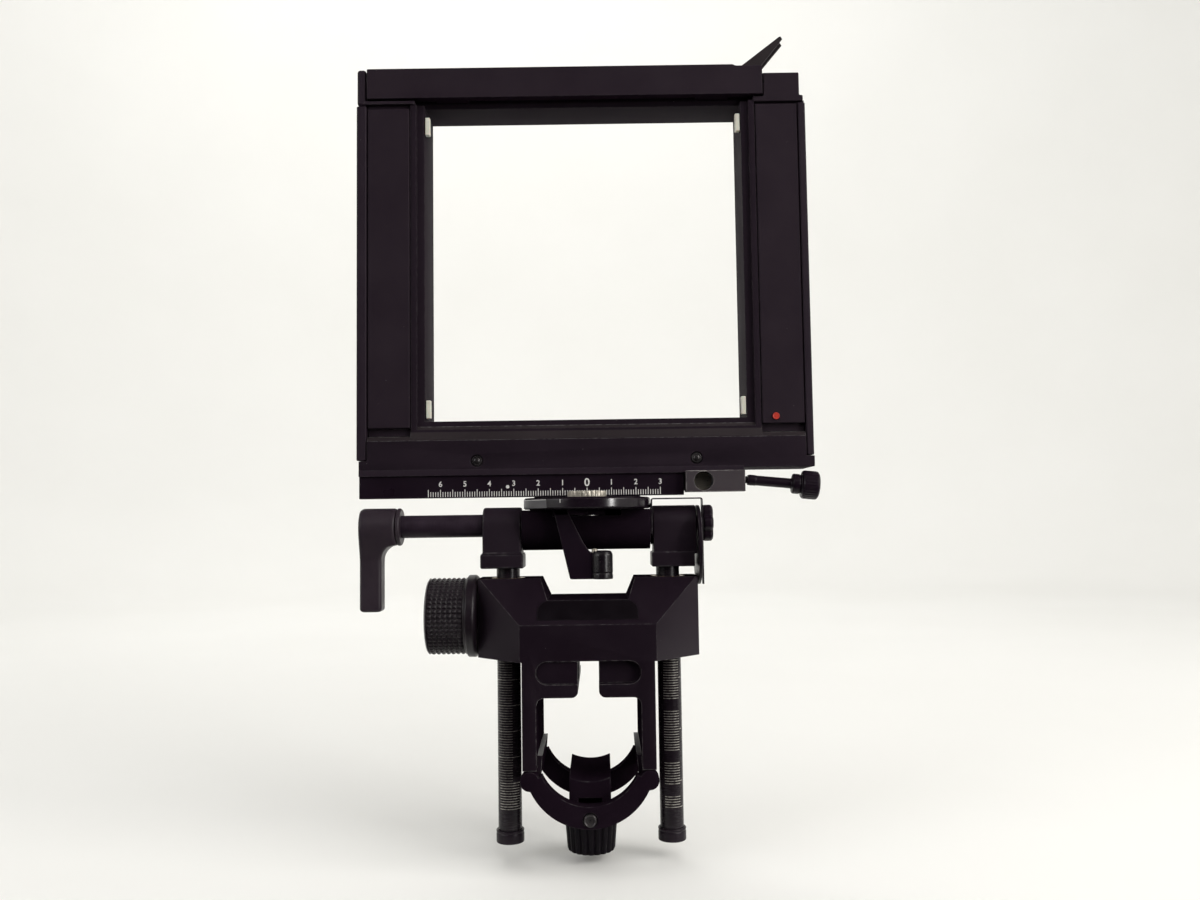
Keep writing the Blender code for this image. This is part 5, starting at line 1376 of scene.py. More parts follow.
@dataclass
class TiltLock(SubAssembly):
    """The L shaped tilt lever with its shaft on the left, and the lobed end knob on the right."""

    height: float = 77.3
    shaft_radius: float = 4.5
    shaft_left: float = 79.3
    shaft_right: float = 41.8
    axle_radius: float = 3.0
    axle_end: float = 11.8
    knob_inner: float = 46.1
    knob_length: float = 4.0
    knob_radius: float = 7.75
    lobes: int = 6
    lobe_depth: float = 1.5
    lever_left: float = -90.7
    hub_right: float = -76.1
    ring: tuple[float, float] = (-75.85, -74.4)
    arm_right: float = -82.0
    hub_radius: float = 7.5
    arm_half: float = 4.2
    lever_low: float = 43.7
    blend: float = 15.0
    corner: float = 1.4

    def build(self) -> None:
        """Makes the lever and the ring at its hub, the shaft and the end knob."""
        self.lever()
        base = (0, 0, self.height)
        start, end = self.ring
        r, shaft, axle = self.hub_radius, self.shaft_radius, self.axle_radius
        inner = shaft - 0.2
        collar = eased([(inner, start), (r, start), (r, end - 0.5), (r - 0.5, end), (inner, end)], 0.2, 2)
        self.make("tilt_lever_hub_ring", hoop(collar, base, TO_RIGHT), Finish.PLASTIC, Slot.PLASTIC, "tilt_lock")
        profile = eased([(0, self.axle_end), (axle, self.axle_end), (axle, self.shaft_right),
                         (shaft, self.shaft_right), (shaft, self.shaft_left), (0, self.shaft_left)], 0.3, 3,
                        closed=False)
        self.make("tilt_lock_shaft_turned", turned(profile, base, TO_LEFT, 56), Finish.TURNED_BLACK_X,
                  Slot.ANODISED, stands_for=("tilt_lock_shaft",))
        self.end_knob()

    def lever(self) -> None:
        """The lever: level slices, rounded rectangles with half width a(z), half depth b(z) and corner c.

        b follows the hub's circle above its axis and eases down to the arm's half depth below it, by a cubic step.
        The right side runs from the hub into the arm on a quarter circle, and both ends are rounded off.
        """
        top, low, turn = self.height + self.hub_radius, self.lever_low, self.corner
        curve = self.arm_right - self.hub_right
        throat = self.height - self.hub_radius + 0.4
        quarter = np.linspace(0, math.pi / 2, 15)
        z = np.concatenate((low + turn * (1 - np.cos(quarter)), np.linspace(low + turn, throat + curve, 16)[1:],
                            throat + curve * np.cos(quarter[1:]), np.linspace(throat, self.height, 10)[1:],
                            self.height + self.hub_radius * np.sin(quarter[1:-1]), [top - 0.005]))
        ease = np.clip(1 - (self.height - z) / self.blend, 0, 1)
        below = self.arm_half + (self.hub_radius - self.arm_half) * ease ** 2 * (3 - 2 * ease)
        above = np.sqrt(np.maximum(self.hub_radius ** 2 - (z - self.height) ** 2, 0))
        b = np.where(z > self.height, above, below)
        fall = np.clip((z - throat - curve) / -curve, 0, 1)
        right = self.arm_right - curve * (1 - np.sqrt(1 - fall ** 2))
        near = np.maximum(turn - np.minimum(z - low, top - z), 0)
        pull = turn - np.sqrt(np.maximum(turn ** 2 - near ** 2, 0))
        b = np.where(z < self.height, b - pull, b)
        a = (right - self.lever_left) / 2 - pull
        middle = (right + self.lever_left) / 2
        c = np.minimum(turn, 0.9 * b)[:, None]
        around = np.concatenate([np.linspace(0, math.pi / 2, 6) + k * math.pi / 2 for k in range(4)])
        x = middle[:, None] + np.repeat((1, -1, -1, 1), 6) * (a[:, None] - c) + c * np.cos(around)
        y = np.repeat((1, 1, -1, -1), 6) * (b[:, None] - c) + c * np.sin(around)
        points = np.stack(np.broadcast_arrays(x, y, z[:, None]), axis=-1)
        self.make("tilt_lock_lever_moulded", Shell.grid(points), Finish.PLASTIC, Slot.PLASTIC,
                  stands_for=("tilt_lock_lever",), sharp=60)

    def end_knob(self) -> None:
        """The end knob: a disc whose radius loses depth * (0.5 - 0.5 cos(n t))^2 between its lobes."""
        r, long = self.knob_radius, self.knob_length
        profile = eased([(3.4, 0), (r - 0.5, 0), (r, 0.5), (r, long - 0.8), (r - 0.9, long), (3.6, long),
                         (3.2, long - 0.5), (0, long - 0.5)], 0.35, 3, closed=False)

        def hollow(h: np.ndarray, t: np.ndarray) -> np.ndarray:
            """Depth of the hollows between the lobes, the same at every height."""
            return -self.lobe_depth * (0.5 - 0.5 * np.cos(self.lobes * t)) ** 2

        knob = turned(profile, (self.knob_inner, 0, self.height), TO_RIGHT, self.lobes * 20, hollow)
        self.make("tilt_end_knob_lobed", knob, Finish.ANODISED, Slot.ANODISED, stands_for=("tilt_end_knob",),
                  sharp=50)


@dataclass
class TiltHead(SubAssembly):
    """The barrel between the tilt blocks, the strip that points at the tilt scale and the swing stud."""

    axis: float = 77.3
    strip_left: float = 25.3
    strip_right: float = 45.7
    strip_top: float = 87.4
    strip_low: float = 73.4
    strip_drop: float = 53.4
    strip_thick: float = 0.5
    strip_front: float = -9.0
    strip_back: float = -5.0
    wall_low: Point = (-13.4, 8.4, 80.6)
    wall_high: Point = (13.4, 9.9, 83.2)
    washer: Line = ((8.6, 83.22), (23.0, 83.22), (23.0, 83.46), (8.6, 83.46))
    collar: Line = ((3.4, 24.6), (5.6, 24.6), (5.6, 25.46), (8.3, 25.46), (8.3, 26.0), (3.4, 26.0))

    def build(self) -> None:
        """Dresses the barrel, closes the gaps round it and bends the strip."""
        self.soften("tilt_barrel", Finish.MATT, Slot.PAINT, 0.3)
        self.coat(Finish.STEEL_Z, "swing_pivot")
        wall = rounded_box(self.wall_low, self.wall_high, 0.1)
        collar = hoop(self.collar, (0, 0, self.axis), TO_RIGHT)
        fittings = wall + hoop(self.washer, steps=96) + collar
        self.make("tilt_barrel_fittings", fittings, Finish.MATT, Slot.PAINT, "tilt_head")
        corners = [(self.strip_left, self.strip_low), (self.strip_left, self.strip_top),
                   (self.strip_right, self.strip_top), (self.strip_right, self.strip_drop)]
        path = eased(corners, 1.1, 6, closed=False)
        strip = bent_strip(path, self.strip_thick, self.strip_front, self.strip_back)
        self.make("tilt_index_bent", strip, Finish.ANODISED, Slot.ANODISED, stands_for=("tilt_index_strip",))


@dataclass
class SwingLock(SubAssembly):
    """The flat lever that clamps the swing, and its round finger tip."""

    tip: Point = (5.8, -14.2, 56.3)
    radius: float = 4.1
    length: float = 11.0
    hub_low: float = 81.1
    hub_high: float = 83.2
    hub_radius: float = 8.0
    hub_bore: float = 5.25
    blade_left: float = -12.9
    blade_front: float = -15.4
    blade_back: float = -13.0
    blade_steps: Line = ((6.2, 0), (15.5, 0), (16.1, 9.3), (13.5, 11.0), (11.3, 14.3), (8.6, 19.8), (6.4, 24.3))
    blade_top: float = 5.4
    screw: Line = ((0, 0), (1.2, 0), (1.2, 1.5), (0.8, 1.9), (0, 2.0))
    screw_from_tip: Point = (-2.9, 0, 9.8)

    def build(self) -> None:
        """Makes the lever and its screw and turns its tip, with two grooves and a dimpled end."""
        self.lever()
        place = np.asarray(self.tip) + self.screw_from_tip
        screw = turned(eased(self.screw, 0.2, 3, closed=False), place, UP, 28)
        self.make("swing_lever_screw", screw, Finish.NICKEL, Slot.STEEL, "swing_lock")
        r, long = self.radius, self.length
        profile = eased([(0, 0.4), (1.4, 0.4), (1.9, 0), (r, 0), (r, 2.0), (r - 0.25, 2.3), (r, 2.6),
                         (r, long - 1.6), (r - 0.7, long - 0.2), (1.6, long), (1.2, long - 0.4), (0, long - 0.4)],
                        0.35, 3, closed=False)
        self.make("swing_lever_finger_tip", turned(profile, self.tip, UP, 48), Finish.TIP, Slot.PLASTIC,
                  stands_for=("swing_lever_tip",))

    def lever(self) -> None:
        """The lever: a ring round the swing stud, a level arm to the front and a blade bent down from it."""
        low, high, r = self.hub_low, self.hub_high, self.hub_radius
        hub = hoop(eased([(self.hub_bore, low), (r, low), (r, high), (self.hub_bore, high)], 0.15, 2))
        left, front, back = self.blade_left, self.blade_front, self.blade_back
        arm = np.vstack(([(left, back + 0.8), (left, front), (left + 5.6, front)],
                         arc((0, 0), r - 1.4, 290, 190, 10)))
        steps = np.asarray(self.blade_steps) + (left, self.tip[2])
        blade = eased(np.vstack(([(left, high)], steps, [(left + self.blade_top, high)])), 0.7, 3)
        self.make("swing_lever_hub", hub + slab(arm, low, high, View.PLAN, 0.2), Finish.MATT, Slot.ANODISED,
                  "swing_lock")
        self.make("swing_lever_blade", slab(blade, front, back, View.FRONT, 0.25), Finish.ANODISED, Slot.ANODISED,
                  stands_for=("swing_lock_lever",))


@dataclass
class Turntable(SubAssembly):
    """The swing disc with its marks, the serrated cap and the shift carriage."""

    radius: float = 25.4
    low: float = 83.5
    high: float = 88.0
    bore: float = 5.3
    mark_proud: float = 0.03

    def build(self) -> None:
        """Turns the disc and dresses the cap and the carriage."""
        r, low, high = self.radius, self.low, self.high
        profile = eased([(self.bore, low), (r - 0.5, low), (r, low + 0.5), (r, high - 0.7), (r - 0.7, high),
                         (r - 3.6, high), (r - 3.8, high - 0.15), (self.bore, high - 0.15)], 0.2, 2)
        self.make("turntable_disc_turned", hoop(profile, steps=128), Finish.RIM, Slot.ANODISED,
                  stands_for=("turntable_disc",))
        self.soften("pivot_cap", Finish.NICKEL, Slot.STEEL, 0.12)
        self.soften("shift_carriage", Finish.ANODISED, Slot.ANODISED, 0.3)
        self.rim_marks()

    def rim_marks(self) -> None:
        """A lighter grey field on the left of the rim with a painted highlight along its top, and an index line:
        strips r (cos t, sin t), z from low to high.
        """
        reach = self.radius + self.mark_proud
        # The white line along the top edge of the field is a painted highlight.
        for name, start, end, low, high, finish in (
                ("rim_field", 188.0, 233.0, self.low + 0.4, self.high - 1.1, Finish.PATCH),
                ("rim_field_edge", 190.0, 232.5, self.high - 1.05, self.high - 0.8, Finish.WHITE),
                ("swing_index", 246.6, 247.3, self.high - 2.2, self.high - 0.8, Finish.WHITE)):
            t = np.radians(np.linspace(start, end, 24))[None, :]
            z = np.array((low, high))[:, None]
            points = np.stack(np.broadcast_arrays(reach * np.cos(t), reach * np.sin(t), z), axis=-1)
            self.make(name, patches(points[None]), finish, Slot.STEEL, "turntable", closed=False)


@dataclass
class ShiftScale(SubAssembly):
    """The shift rail, the engraved scale bar and the socket for an accessory rod with its thumb screw."""

    low: Point = (-93.4, 7.0, 88.8)
    high: Point = (39.7, 11.0, 98.1)
    first: int = -65
    last: int = 30
    foot: float = 89.25
    long_mark: float = 3.0
    short_mark: float = 2.05
    mark_width: float = 0.3
    figure_foot: float = 93.4
    figure_height: float = 2.25
    zero_foot: float = 92.9
    zero_height: float = 3.3
    dot: tuple[float, float] = (-32.5, 93.1)
    dot_radius: float = 0.72
    socket_top: float = 98.6
    socket_edge: float = 0.5
    bore_edge: float = 0.2
    socket_bore: tuple[float, float, float] = (47.5, 94.35, 3.9)
    floor_radius: float = 4.0
    floor_front: float = 11.06
    floor_thick: float = 0.2
    mouth: Point = (64.4, 7.0, 94.7)
    slope: float = math.radians(5.6)
    screw_start: float = -11.0
    screw: Line = ((2.0, 1.3), (2.2, 1.9), (2.2, 4.4), (2.05, 4.7), (2.05, 18.9), (2.3, 19.3), (3.9, 19.6),
                   (4.1, 20.2), (4.1, 22.3), (3.8, 22.9), (3.7, 23.3), (5.3, 23.5), (5.8, 24.2), (5.85, 27.8),
                   (5.75, 29.7), (4.8, 30.4), (2.6, 30.5), (2.2, 30.1), (0, 30.1))
    rib_low: float = 24.6
    rib_high: float = 28.9
    rib_radius: float = 5.83
    rib_depth: float = 0.16

    def build(self) -> None:
        """Makes the bar, its marks and the thumb screw, and dresses the rail and the socket."""
        bar = rounded_box(self.low, self.high, 0.35)
        self.make("shift_scale_bar_rounded", bar, Finish.ANODISED, Slot.ANODISED, stands_for=("shift_scale_bar",))
        self.marks()
        self.figures()
        self.soften("shift_rail", Finish.ANODISED, Slot.ANODISED, 0.25)
        self.socket()
        self.thumb_screw()

    def socket(self) -> None:
        """The rod socket, a bored block: outer loop at the box's border along (cos t, sin t), inner on the bore.

        A pale disc at the far end of the bore is painted light seen through it, and the bore's wall takes a
        lighter grey as painted light too.
        """
        low, high = box_of("rod_socket_block")
        x, z, r = self.socket_bore
        right, left, up, down = high[0] - x, low[0] - x, self.socket_top - z, low[2] - z
        corners = [math.atan2(b, a) % (2 * math.pi) for a in (left, right) for b in (down, up)]
        t = np.sort(np.concatenate((np.linspace(0, 2 * math.pi, 60, endpoint=False) + 0.003, corners)))
        cos, sin = np.cos(t), np.sin(t)
        reach = np.minimum(np.where(cos > 0, right, left) / cos, np.where(sin > 0, up, down) / sin)
        quarter = np.linspace(0, math.pi / 2, 5)[:, None]
        pull, sink = 1 - np.sin(quarter), 1 - np.cos(quarter)
        outer, inner = reach - self.socket_edge * pull, r + self.bore_edge * pull + 0 * t
        radius = np.concatenate((outer, outer[::-1], inner, inner[::-1]))
        deep, shallow = self.socket_edge * sink, self.bore_edge * sink
        front, back = low[1], high[1]
        depth = np.concatenate((front + deep, (back - deep)[::-1], back - shallow, (front + shallow)[::-1]))
        shell = Shell.grid(View.FRONT.place(x + radius * cos, z + radius * sin, depth), wrap_rows=True, caps=False)
        block = self.make("rod_socket_bored", shell, Finish.SOCKET, Slot.PAINT, stands_for=("rod_socket_block",))
        # The block's rounded edges take its edge coat: partly rubbed wear, partly painted edge highlight.
        self.repaint(block, Finish.SOCKET, lambda middle, normal: np.abs(np.abs(normal[:, 1]) - 0.5) < 0.42,
                     edge=True)
        # Painted light: the bore's wall takes the lighter grey patch finish.
        self.repaint(block, Finish.PATCH,
                     lambda middle, normal: np.hypot(middle[:, 0] - x, middle[:, 2] - z) < r + 0.001)
        # Painted light: a pale disc at the bore's far end stands for light seen through the bore.
        wide, thick = self.floor_radius, self.floor_thick
        disc = turned([(0, 0), (wide, 0), (wide, thick), (0, thick)], (x, self.floor_front, z), TO_BACK, 40)
        self.make("rod_socket_floor", disc, Finish.NICKEL, Slot.STEEL, "board_frame")

    def marks(self) -> None:
        """Millimetre marks, longer at each five, and one round mark."""
        number = np.arange(self.first, self.last + 1)
        tops = self.foot + np.where(number % 5 == 0, self.long_mark, self.short_mark)
        face = self.low[1] - PROUD
        circle = arc(self.dot, self.dot_radius, 0, 345, 23)
        points = View.FRONT.place(circle[:, 0], circle[:, 1], np.asarray(face))
        shell = bar_marks(number, self.foot, tops, self.mark_width, face)
        shell = shell + Shell(points, np.empty((0, 4), int), [np.arange(len(circle))])
        self.flat_piece("shift_scale_marks", shell)

    def figures(self) -> None:
        """Centimetre figures above the marks, with a taller zero."""
        face = self.low[1] - PROUD
        shell = numeral("0", self.zero_height, (0, face, self.zero_foot))
        for centimetre in (*range(-1, -7, -1), *range(1, 4)):
            place = (centimetre * 10, face, self.figure_foot)
            shell = shell + numeral(str(abs(centimetre)), self.figure_height, place)
        self.flat_piece("shift_scale_figures", shell)

    def flat_piece(self, name: str, shell: Shell) -> None:
        """A flat engraved piece that faces -Y.

        Args:
            name: The piece's name.
            shell: Its flat faces.
        """
        mesh = plain_mesh(name, shell)
        if rows_of(mesh.polygons, "normal")[:, 1].mean() > 0:
            mesh.flip_normals()
        self.put(name, mesh, Finish.WHITE, None, "board_frame", ())

    def thumb_screw(self) -> None:
        """The thumb screw: threaded neck, plain shank, collar and a finely ribbed head with a domed end."""
        direction = (math.cos(self.slope), 0, -math.sin(self.slope))
        thread = threads(1.55, 0.22, 0.6, self.screw_start, 1.2)
        rest = eased(self.screw, 0.3, 3, closed=False)
        ribs = np.linspace(self.rib_low, self.rib_high, 9)
        head = np.stack((np.full_like(ribs, self.rib_radius), ribs), axis=-1)
        cut, after = np.searchsorted(rest[:, 1], (self.rib_low - 0.05, self.rib_high + 0.1))
        profile = np.vstack(([(0, self.screw_start)], thread, rest[:cut], head, rest[after:]))

        def rib(h: np.ndarray, t: np.ndarray) -> np.ndarray:
            """Fine ribs on the head, fading out at both ends."""
            fade = np.clip((h - self.rib_low + 1.0) / 0.8, 0, 1) * np.clip((self.rib_high + 0.5 - h) / 0.8, 0, 1)
            return self.rib_depth * (np.abs(np.cos(15 * t)) - 1) * fade

        self.make("rod_clamp_thumb_screw", turned(profile, self.mouth, direction, 180, rib), Finish.ANODISED,
                  Slot.ANODISED, stands_for=("rod_clamp_screw",), sharp=50)


@dataclass
class BoardFrame(SubAssembly):
    """The square frame that takes the lens board: bars, rims, seat, pads, screws and the red dot."""

    front: float = 6.0
    base_top: float = 114.2
    lip_front: float = 7.6
    lip_top: float = 117.0
    screw_x: float = 45.0
    screw_z: float = 103.9
    screw_radius: float = 2.2
    dot_centre: Point = (78.1, 6.9, 120.7)
    dot_profile: Line = ((0, 0), (1.45, 0), (1.45, 0.3), (1.25, 0.45), (1.0, 0.34), (0, 0.42))
    panel_low: float = 117.7
    panel_high: float = 252.3
    foot_back: float = 2.5
    rim_out: float = 1.1
    rim_joint: float = 253.4
    right_top: float = 252.6
    sill: Line = ((6.1, 111.3), (7.35, 115.6), (9.15, 118.4), (9.15, 111.3))
    sill_half: float = 72.3
    bevel: Line = ((5.97, 112.36), (7.78, 114.23), (7.8, 114.0), (6.2, 112.36))
    bevel_half: float = 90.0
    base_lip: tuple[Point, Point] = ((-93.4, 5.97, 97.9), (64.3, 6.85, 100.6))
    small_ledge: tuple[Point, Point] = ((-91.0, 6.7, 254.1), (-70.2, 9.6, 255.5))
    ledge_low: float = 253.3
    ledge_high: float = 255.9
    ledge_left: float = 71.7
    ledge_right: float = 92.7
    notch_low: float = 261.0
    notch_high: float = 262.6
    pad_thick: float = 2.6

    def build(self) -> None:
        """Dresses the bars and makes the panels, the rims, the sill, the pads, the screws and the dot."""
        for node, y, z, width in (("frame_base_bar", self.front, self.base_top, 1.8),
                                  ("board_seat_ring", self.lip_front, self.lip_top, 1.4)):
            self.soften(node, Finish.SEAT, Slot.PAINT, 0.3, cuts=((self.edge_at(y, z), width),))
        self.soften("top_rail", Finish.FRAME, Slot.PAINT, 0.4)
        self.uprights()
        self.rims()
        self.trim()
        self.pads()
        self.screws()
        self.dot()
        self.coat(Finish.STEEL_Y, "retainer_lever_pin")

    def uprights(self) -> None:
        """Side panels, each a rounded box above a foot that stands back from its face."""
        for _, word in SIDES:
            low, high = box_of(word + "_upright")
            panel = rounded_box((*low[:2], self.panel_low), (*high[:2], self.panel_high), 0.6)
            foot = rounded_box(low + (0, self.foot_back, 0), (*high[:2], self.panel_low + 0.8), 0.2)
            self.make(word + "_upright_panel", panel + foot, Finish.PANEL, Slot.PAINT,
                      stands_for=(word + "_upright",))

    def rims(self) -> None:
        """Outer rims: rounded strips down both sides, the left one with a separate post on top."""
        low, high = box_of("left_rim")
        low = low - (self.rim_out, 0, 0)
        strip = rounded_box(low, (*high[:2], self.rim_joint), 0.6)
        post = rounded_box((low[0] + 0.2, low[1], self.rim_joint + 0.2), high + (-0.15, 0, 0.4), 1.3, 5)
        self.make("left_rim_strip", strip + post, Finish.FRAME, Slot.PAINT, stands_for=("left_rim",))
        low, high = box_of("right_rim")
        strip = rounded_box(low, (*high[:2], self.right_top), 0.6)
        self.make("right_rim_strip", strip, Finish.FRAME, Slot.PAINT, stands_for=("right_rim",))

    def trim(self) -> None:
        """The sloped sill under the seat, the base bar's bevel and lip, the left ledge and the corner block."""
        sill = slab(self.sill, -self.sill_half, self.sill_half, View.SIDE, 0.1)
        bevel = slab(self.bevel, -self.bevel_half, self.bevel_half, View.SIDE, 0.02)
        for name, shell, finish in (("sloped_sill", sill, Finish.PLATED), ("base_bar_bevel", bevel, Finish.PLATED),
                                    ("base_bar_lip", rounded_box(*self.base_lip, 0.2), Finish.FRAME),
                                    ("left_ledge", rounded_box(*self.small_ledge, 0.3), Finish.FRAME)):
            self.make(name, shell, finish, Slot.PAINT, "board_frame")
        low, high = box_of("corner_block")
        left, right, top = low[0] - 0.5, high[0], high[2] + 0.7
        foot, ledge = self.ledge_low, self.ledge_high
        outline = eased([(self.ledge_left, foot), (self.ledge_right, foot), (self.ledge_right, ledge),
                         (right, ledge), (right, top), (left, top), (left, ledge), (self.ledge_left, ledge)],
                        0.6, 3)
        block = slab(outline, low[1], high[1], View.FRONT, 0.5)
        self.make("corner_block_ledged", block, Finish.PANEL, Slot.PAINT, stands_for=("corner_block",))
        # A small dark patch, proud of the block's face at its left edge.
        dark_patch = rounded_box((left + 0.1, low[1] - 0.03, self.notch_low),
                            (left + 1.0, low[1] + 0.6, self.notch_high), 0.2)
        self.make("corner_block_notch", dark_patch, Finish.KNOB, Slot.PAINT, "board_frame")

    def edge_at(self, y: float, z: float) -> Callable[[bmesh.types.BMEdge], bool]:
        """A test for the edges along X at one place.

        Args:
            y: Where they lie on Y.
            z: Where they lie on Z.

        Returns:
            Whether both ends of an edge lie there.
        """
        def there(line: bmesh.types.BMEdge) -> bool:
            """Whether both ends of an edge lie at y and z, within 0.02."""
            return all(abs(v.co.z / MM - z) < 0.02 and abs(v.co.y / MM - y) < 0.02 for v in line.verts)

        return there

    def pads(self) -> None:
        """Four soft-edged nylon pads in the opening."""
        for node in ("upper_left_pad", "upper_right_pad", "lower_left_pad", "lower_right_pad"):
            low, high = box_of(node)
            shell = rounded_box(low, (high[0], low[1] + self.pad_thick, high[2]), 0.4, 4)
            self.make(node + "_rounded", shell, Finish.NYLON, Slot.NYLON, stands_for=(node,))

    def screws(self) -> None:
        """Two screws in the base bar: a domed head with a ring round it, then the shank."""
        r = self.screw_radius
        profile = eased([(0, 0.5), (0.7, 0.42), (1.25, 0.12), (1.4, -0.15), (r - 0.3, 0.02), (r, -0.3), (r, -1.4),
                         (1.2, -1.6), (1.2, -7.0), (0, -7.0)], 0.15, 2, closed=False)
        for side, word in SIDES:
            shell = turned(profile, (side * self.screw_x, self.front + 0.2, self.screw_z), TO_FRONT, 40)
            self.make(word + "_base_screw_turned", shell, Finish.DARK_STEEL, Slot.STEEL, "board_frame",
                      (word + "_base_screw",))

    def dot(self) -> None:
        """The red dot: a low dome with a raised rim."""
        shell = turned(eased(self.dot_profile, 0.12, 3, closed=False), self.dot_centre, TO_FRONT, 40)
        self.make("index_dot_domed", shell, Finish.RED, Slot.RED, "board_frame", ("index_dot",))


@dataclass
class Retainer(SubAssembly):
    """The bar that holds the board's upper edge, and its lever of folded plate."""

    pivot: tuple[float, float] = (71.1, 262.65)
    front: float = 10.1
    back: float = 13.1
    sheet: float = 0.9
    boss: float = 4.0
    bar_low: float = 256.1
    bar_thick: float = 4.0
    bar_step: float = 0.6
    step_place: float = 63.4
    guide_place: float = 55.0
    guide_half: float = 7.0
    lever_foot: tuple[float, float] = (65.9, 75.2)
    lever_tip: tuple[float, float] = (84.6, 282.5)

    def build(self) -> None:
        """Makes the bar and the lever."""
        self.bar()
        self.lever()

    def bar(self) -> None:
        """The bar: an outline with a low step near its right end, carried through its depth, and two guides; its
        underside is painted darker as shade.
        """
        low, high = box_of("retaining_bar")
        left, right, top = low[0], high[0], high[2]
        outline = eased([(left, self.bar_low), (right, self.bar_low), (right, top - self.bar_step),
                         (self.step_place + 1.2, top - self.bar_step), (self.step_place, top), (left, top)],
                        0.55, 3)
        back = low[1] + self.bar_thick
        shell = slab(outline, low[1], back, View.FRONT, 0.4)
        for side in (-1, 1):
            middle = side * self.guide_place
            shell = shell + rounded_box((middle - self.guide_half, back - 0.5, self.bar_low + 0.4),
                                        (middle + self.guide_half, high[1], self.bar_low + 6.4), 0.4)
        bar = self.make("retaining_bar_stepped", shell, Finish.PANEL, Slot.PAINT, stands_for=("retaining_bar",))
        # Painted shade: the bar's underside takes the darker matt coat.
        self.repaint(bar, Finish.MATT, lambda middle, normal: normal[:, 2] < -0.7)

    def lever(self) -> None:
        """The lever: two tapered plates on a round boss, joined by a fold along their left edge."""
        x, z = self.pivot
        foot_left, foot_right = self.lever_foot
        tip_x, tip_z = self.lever_tip
        level = z + 6.1

        def plate(shift: float, drop: float) -> np.ndarray:
            """Outline of one plate, its right edge moved by shift and its tip lowered by drop.

            Args:
                shift: How far the right edge is moved.
                drop: How far the tip is lowered.

            Returns:
                The outline.
            """
            tip = [(tip_x + 0.6, tip_z - 1.1 - drop), (tip_x, tip_z - drop), (tip_x - 0.7, tip_z - drop)]
            sides = [(foot_right + shift, level), *tip, (foot_left, level)]
            return np.vstack((arc((x, z), self.boss, 170, 350, 18), sides))

        front = slab(plate(0.0, 0.0), self.front, self.front + self.sheet, View.FRONT, 0.2)
        behind = slab(plate(1.0, 1.9), self.back - self.sheet, self.back, View.FRONT, 0.2)
        fold = [(foot_left, level), (foot_left + 1.4, level), (tip_x - 0.2, tip_z - 2.0),
                (tip_x - 1.0, tip_z - 1.2)]
        web = slab(fold, self.front + 0.3, self.back - 0.3, View.FRONT, 0.1)
        self.make("retainer_lever_folded", front + behind + web, Finish.PLATED, Slot.ANODISED,
                  stands_for=("retainer_lever",))


@dataclass(frozen=True)
class Lamp:
    """A soft square lamp; its place, aim and size are in metres."""

    name: str
    place: Point
    aim: Point
    size: float
    power: float
    colour: Colour = (1.0, 0.99, 0.97)
    mirrored: bool = False

    def hang(self) -> None:
        """Hangs the lamp at its place, turned towards its aim, and shows it in gloss only if it is mirrored."""
        data = bpy.data.lights.new(self.name, "AREA")
        data.size = self.size
        data.energy = self.power
        data.color = self.colour
        lamp = placed(self.name, data)
        lamp.visible_glossy = self.mirrored
        back, across, up = axes_along(np.asarray(self.place) - np.asarray(self.aim))
        stand(lamp, np.stack((across, up, back), axis=1), self.place)


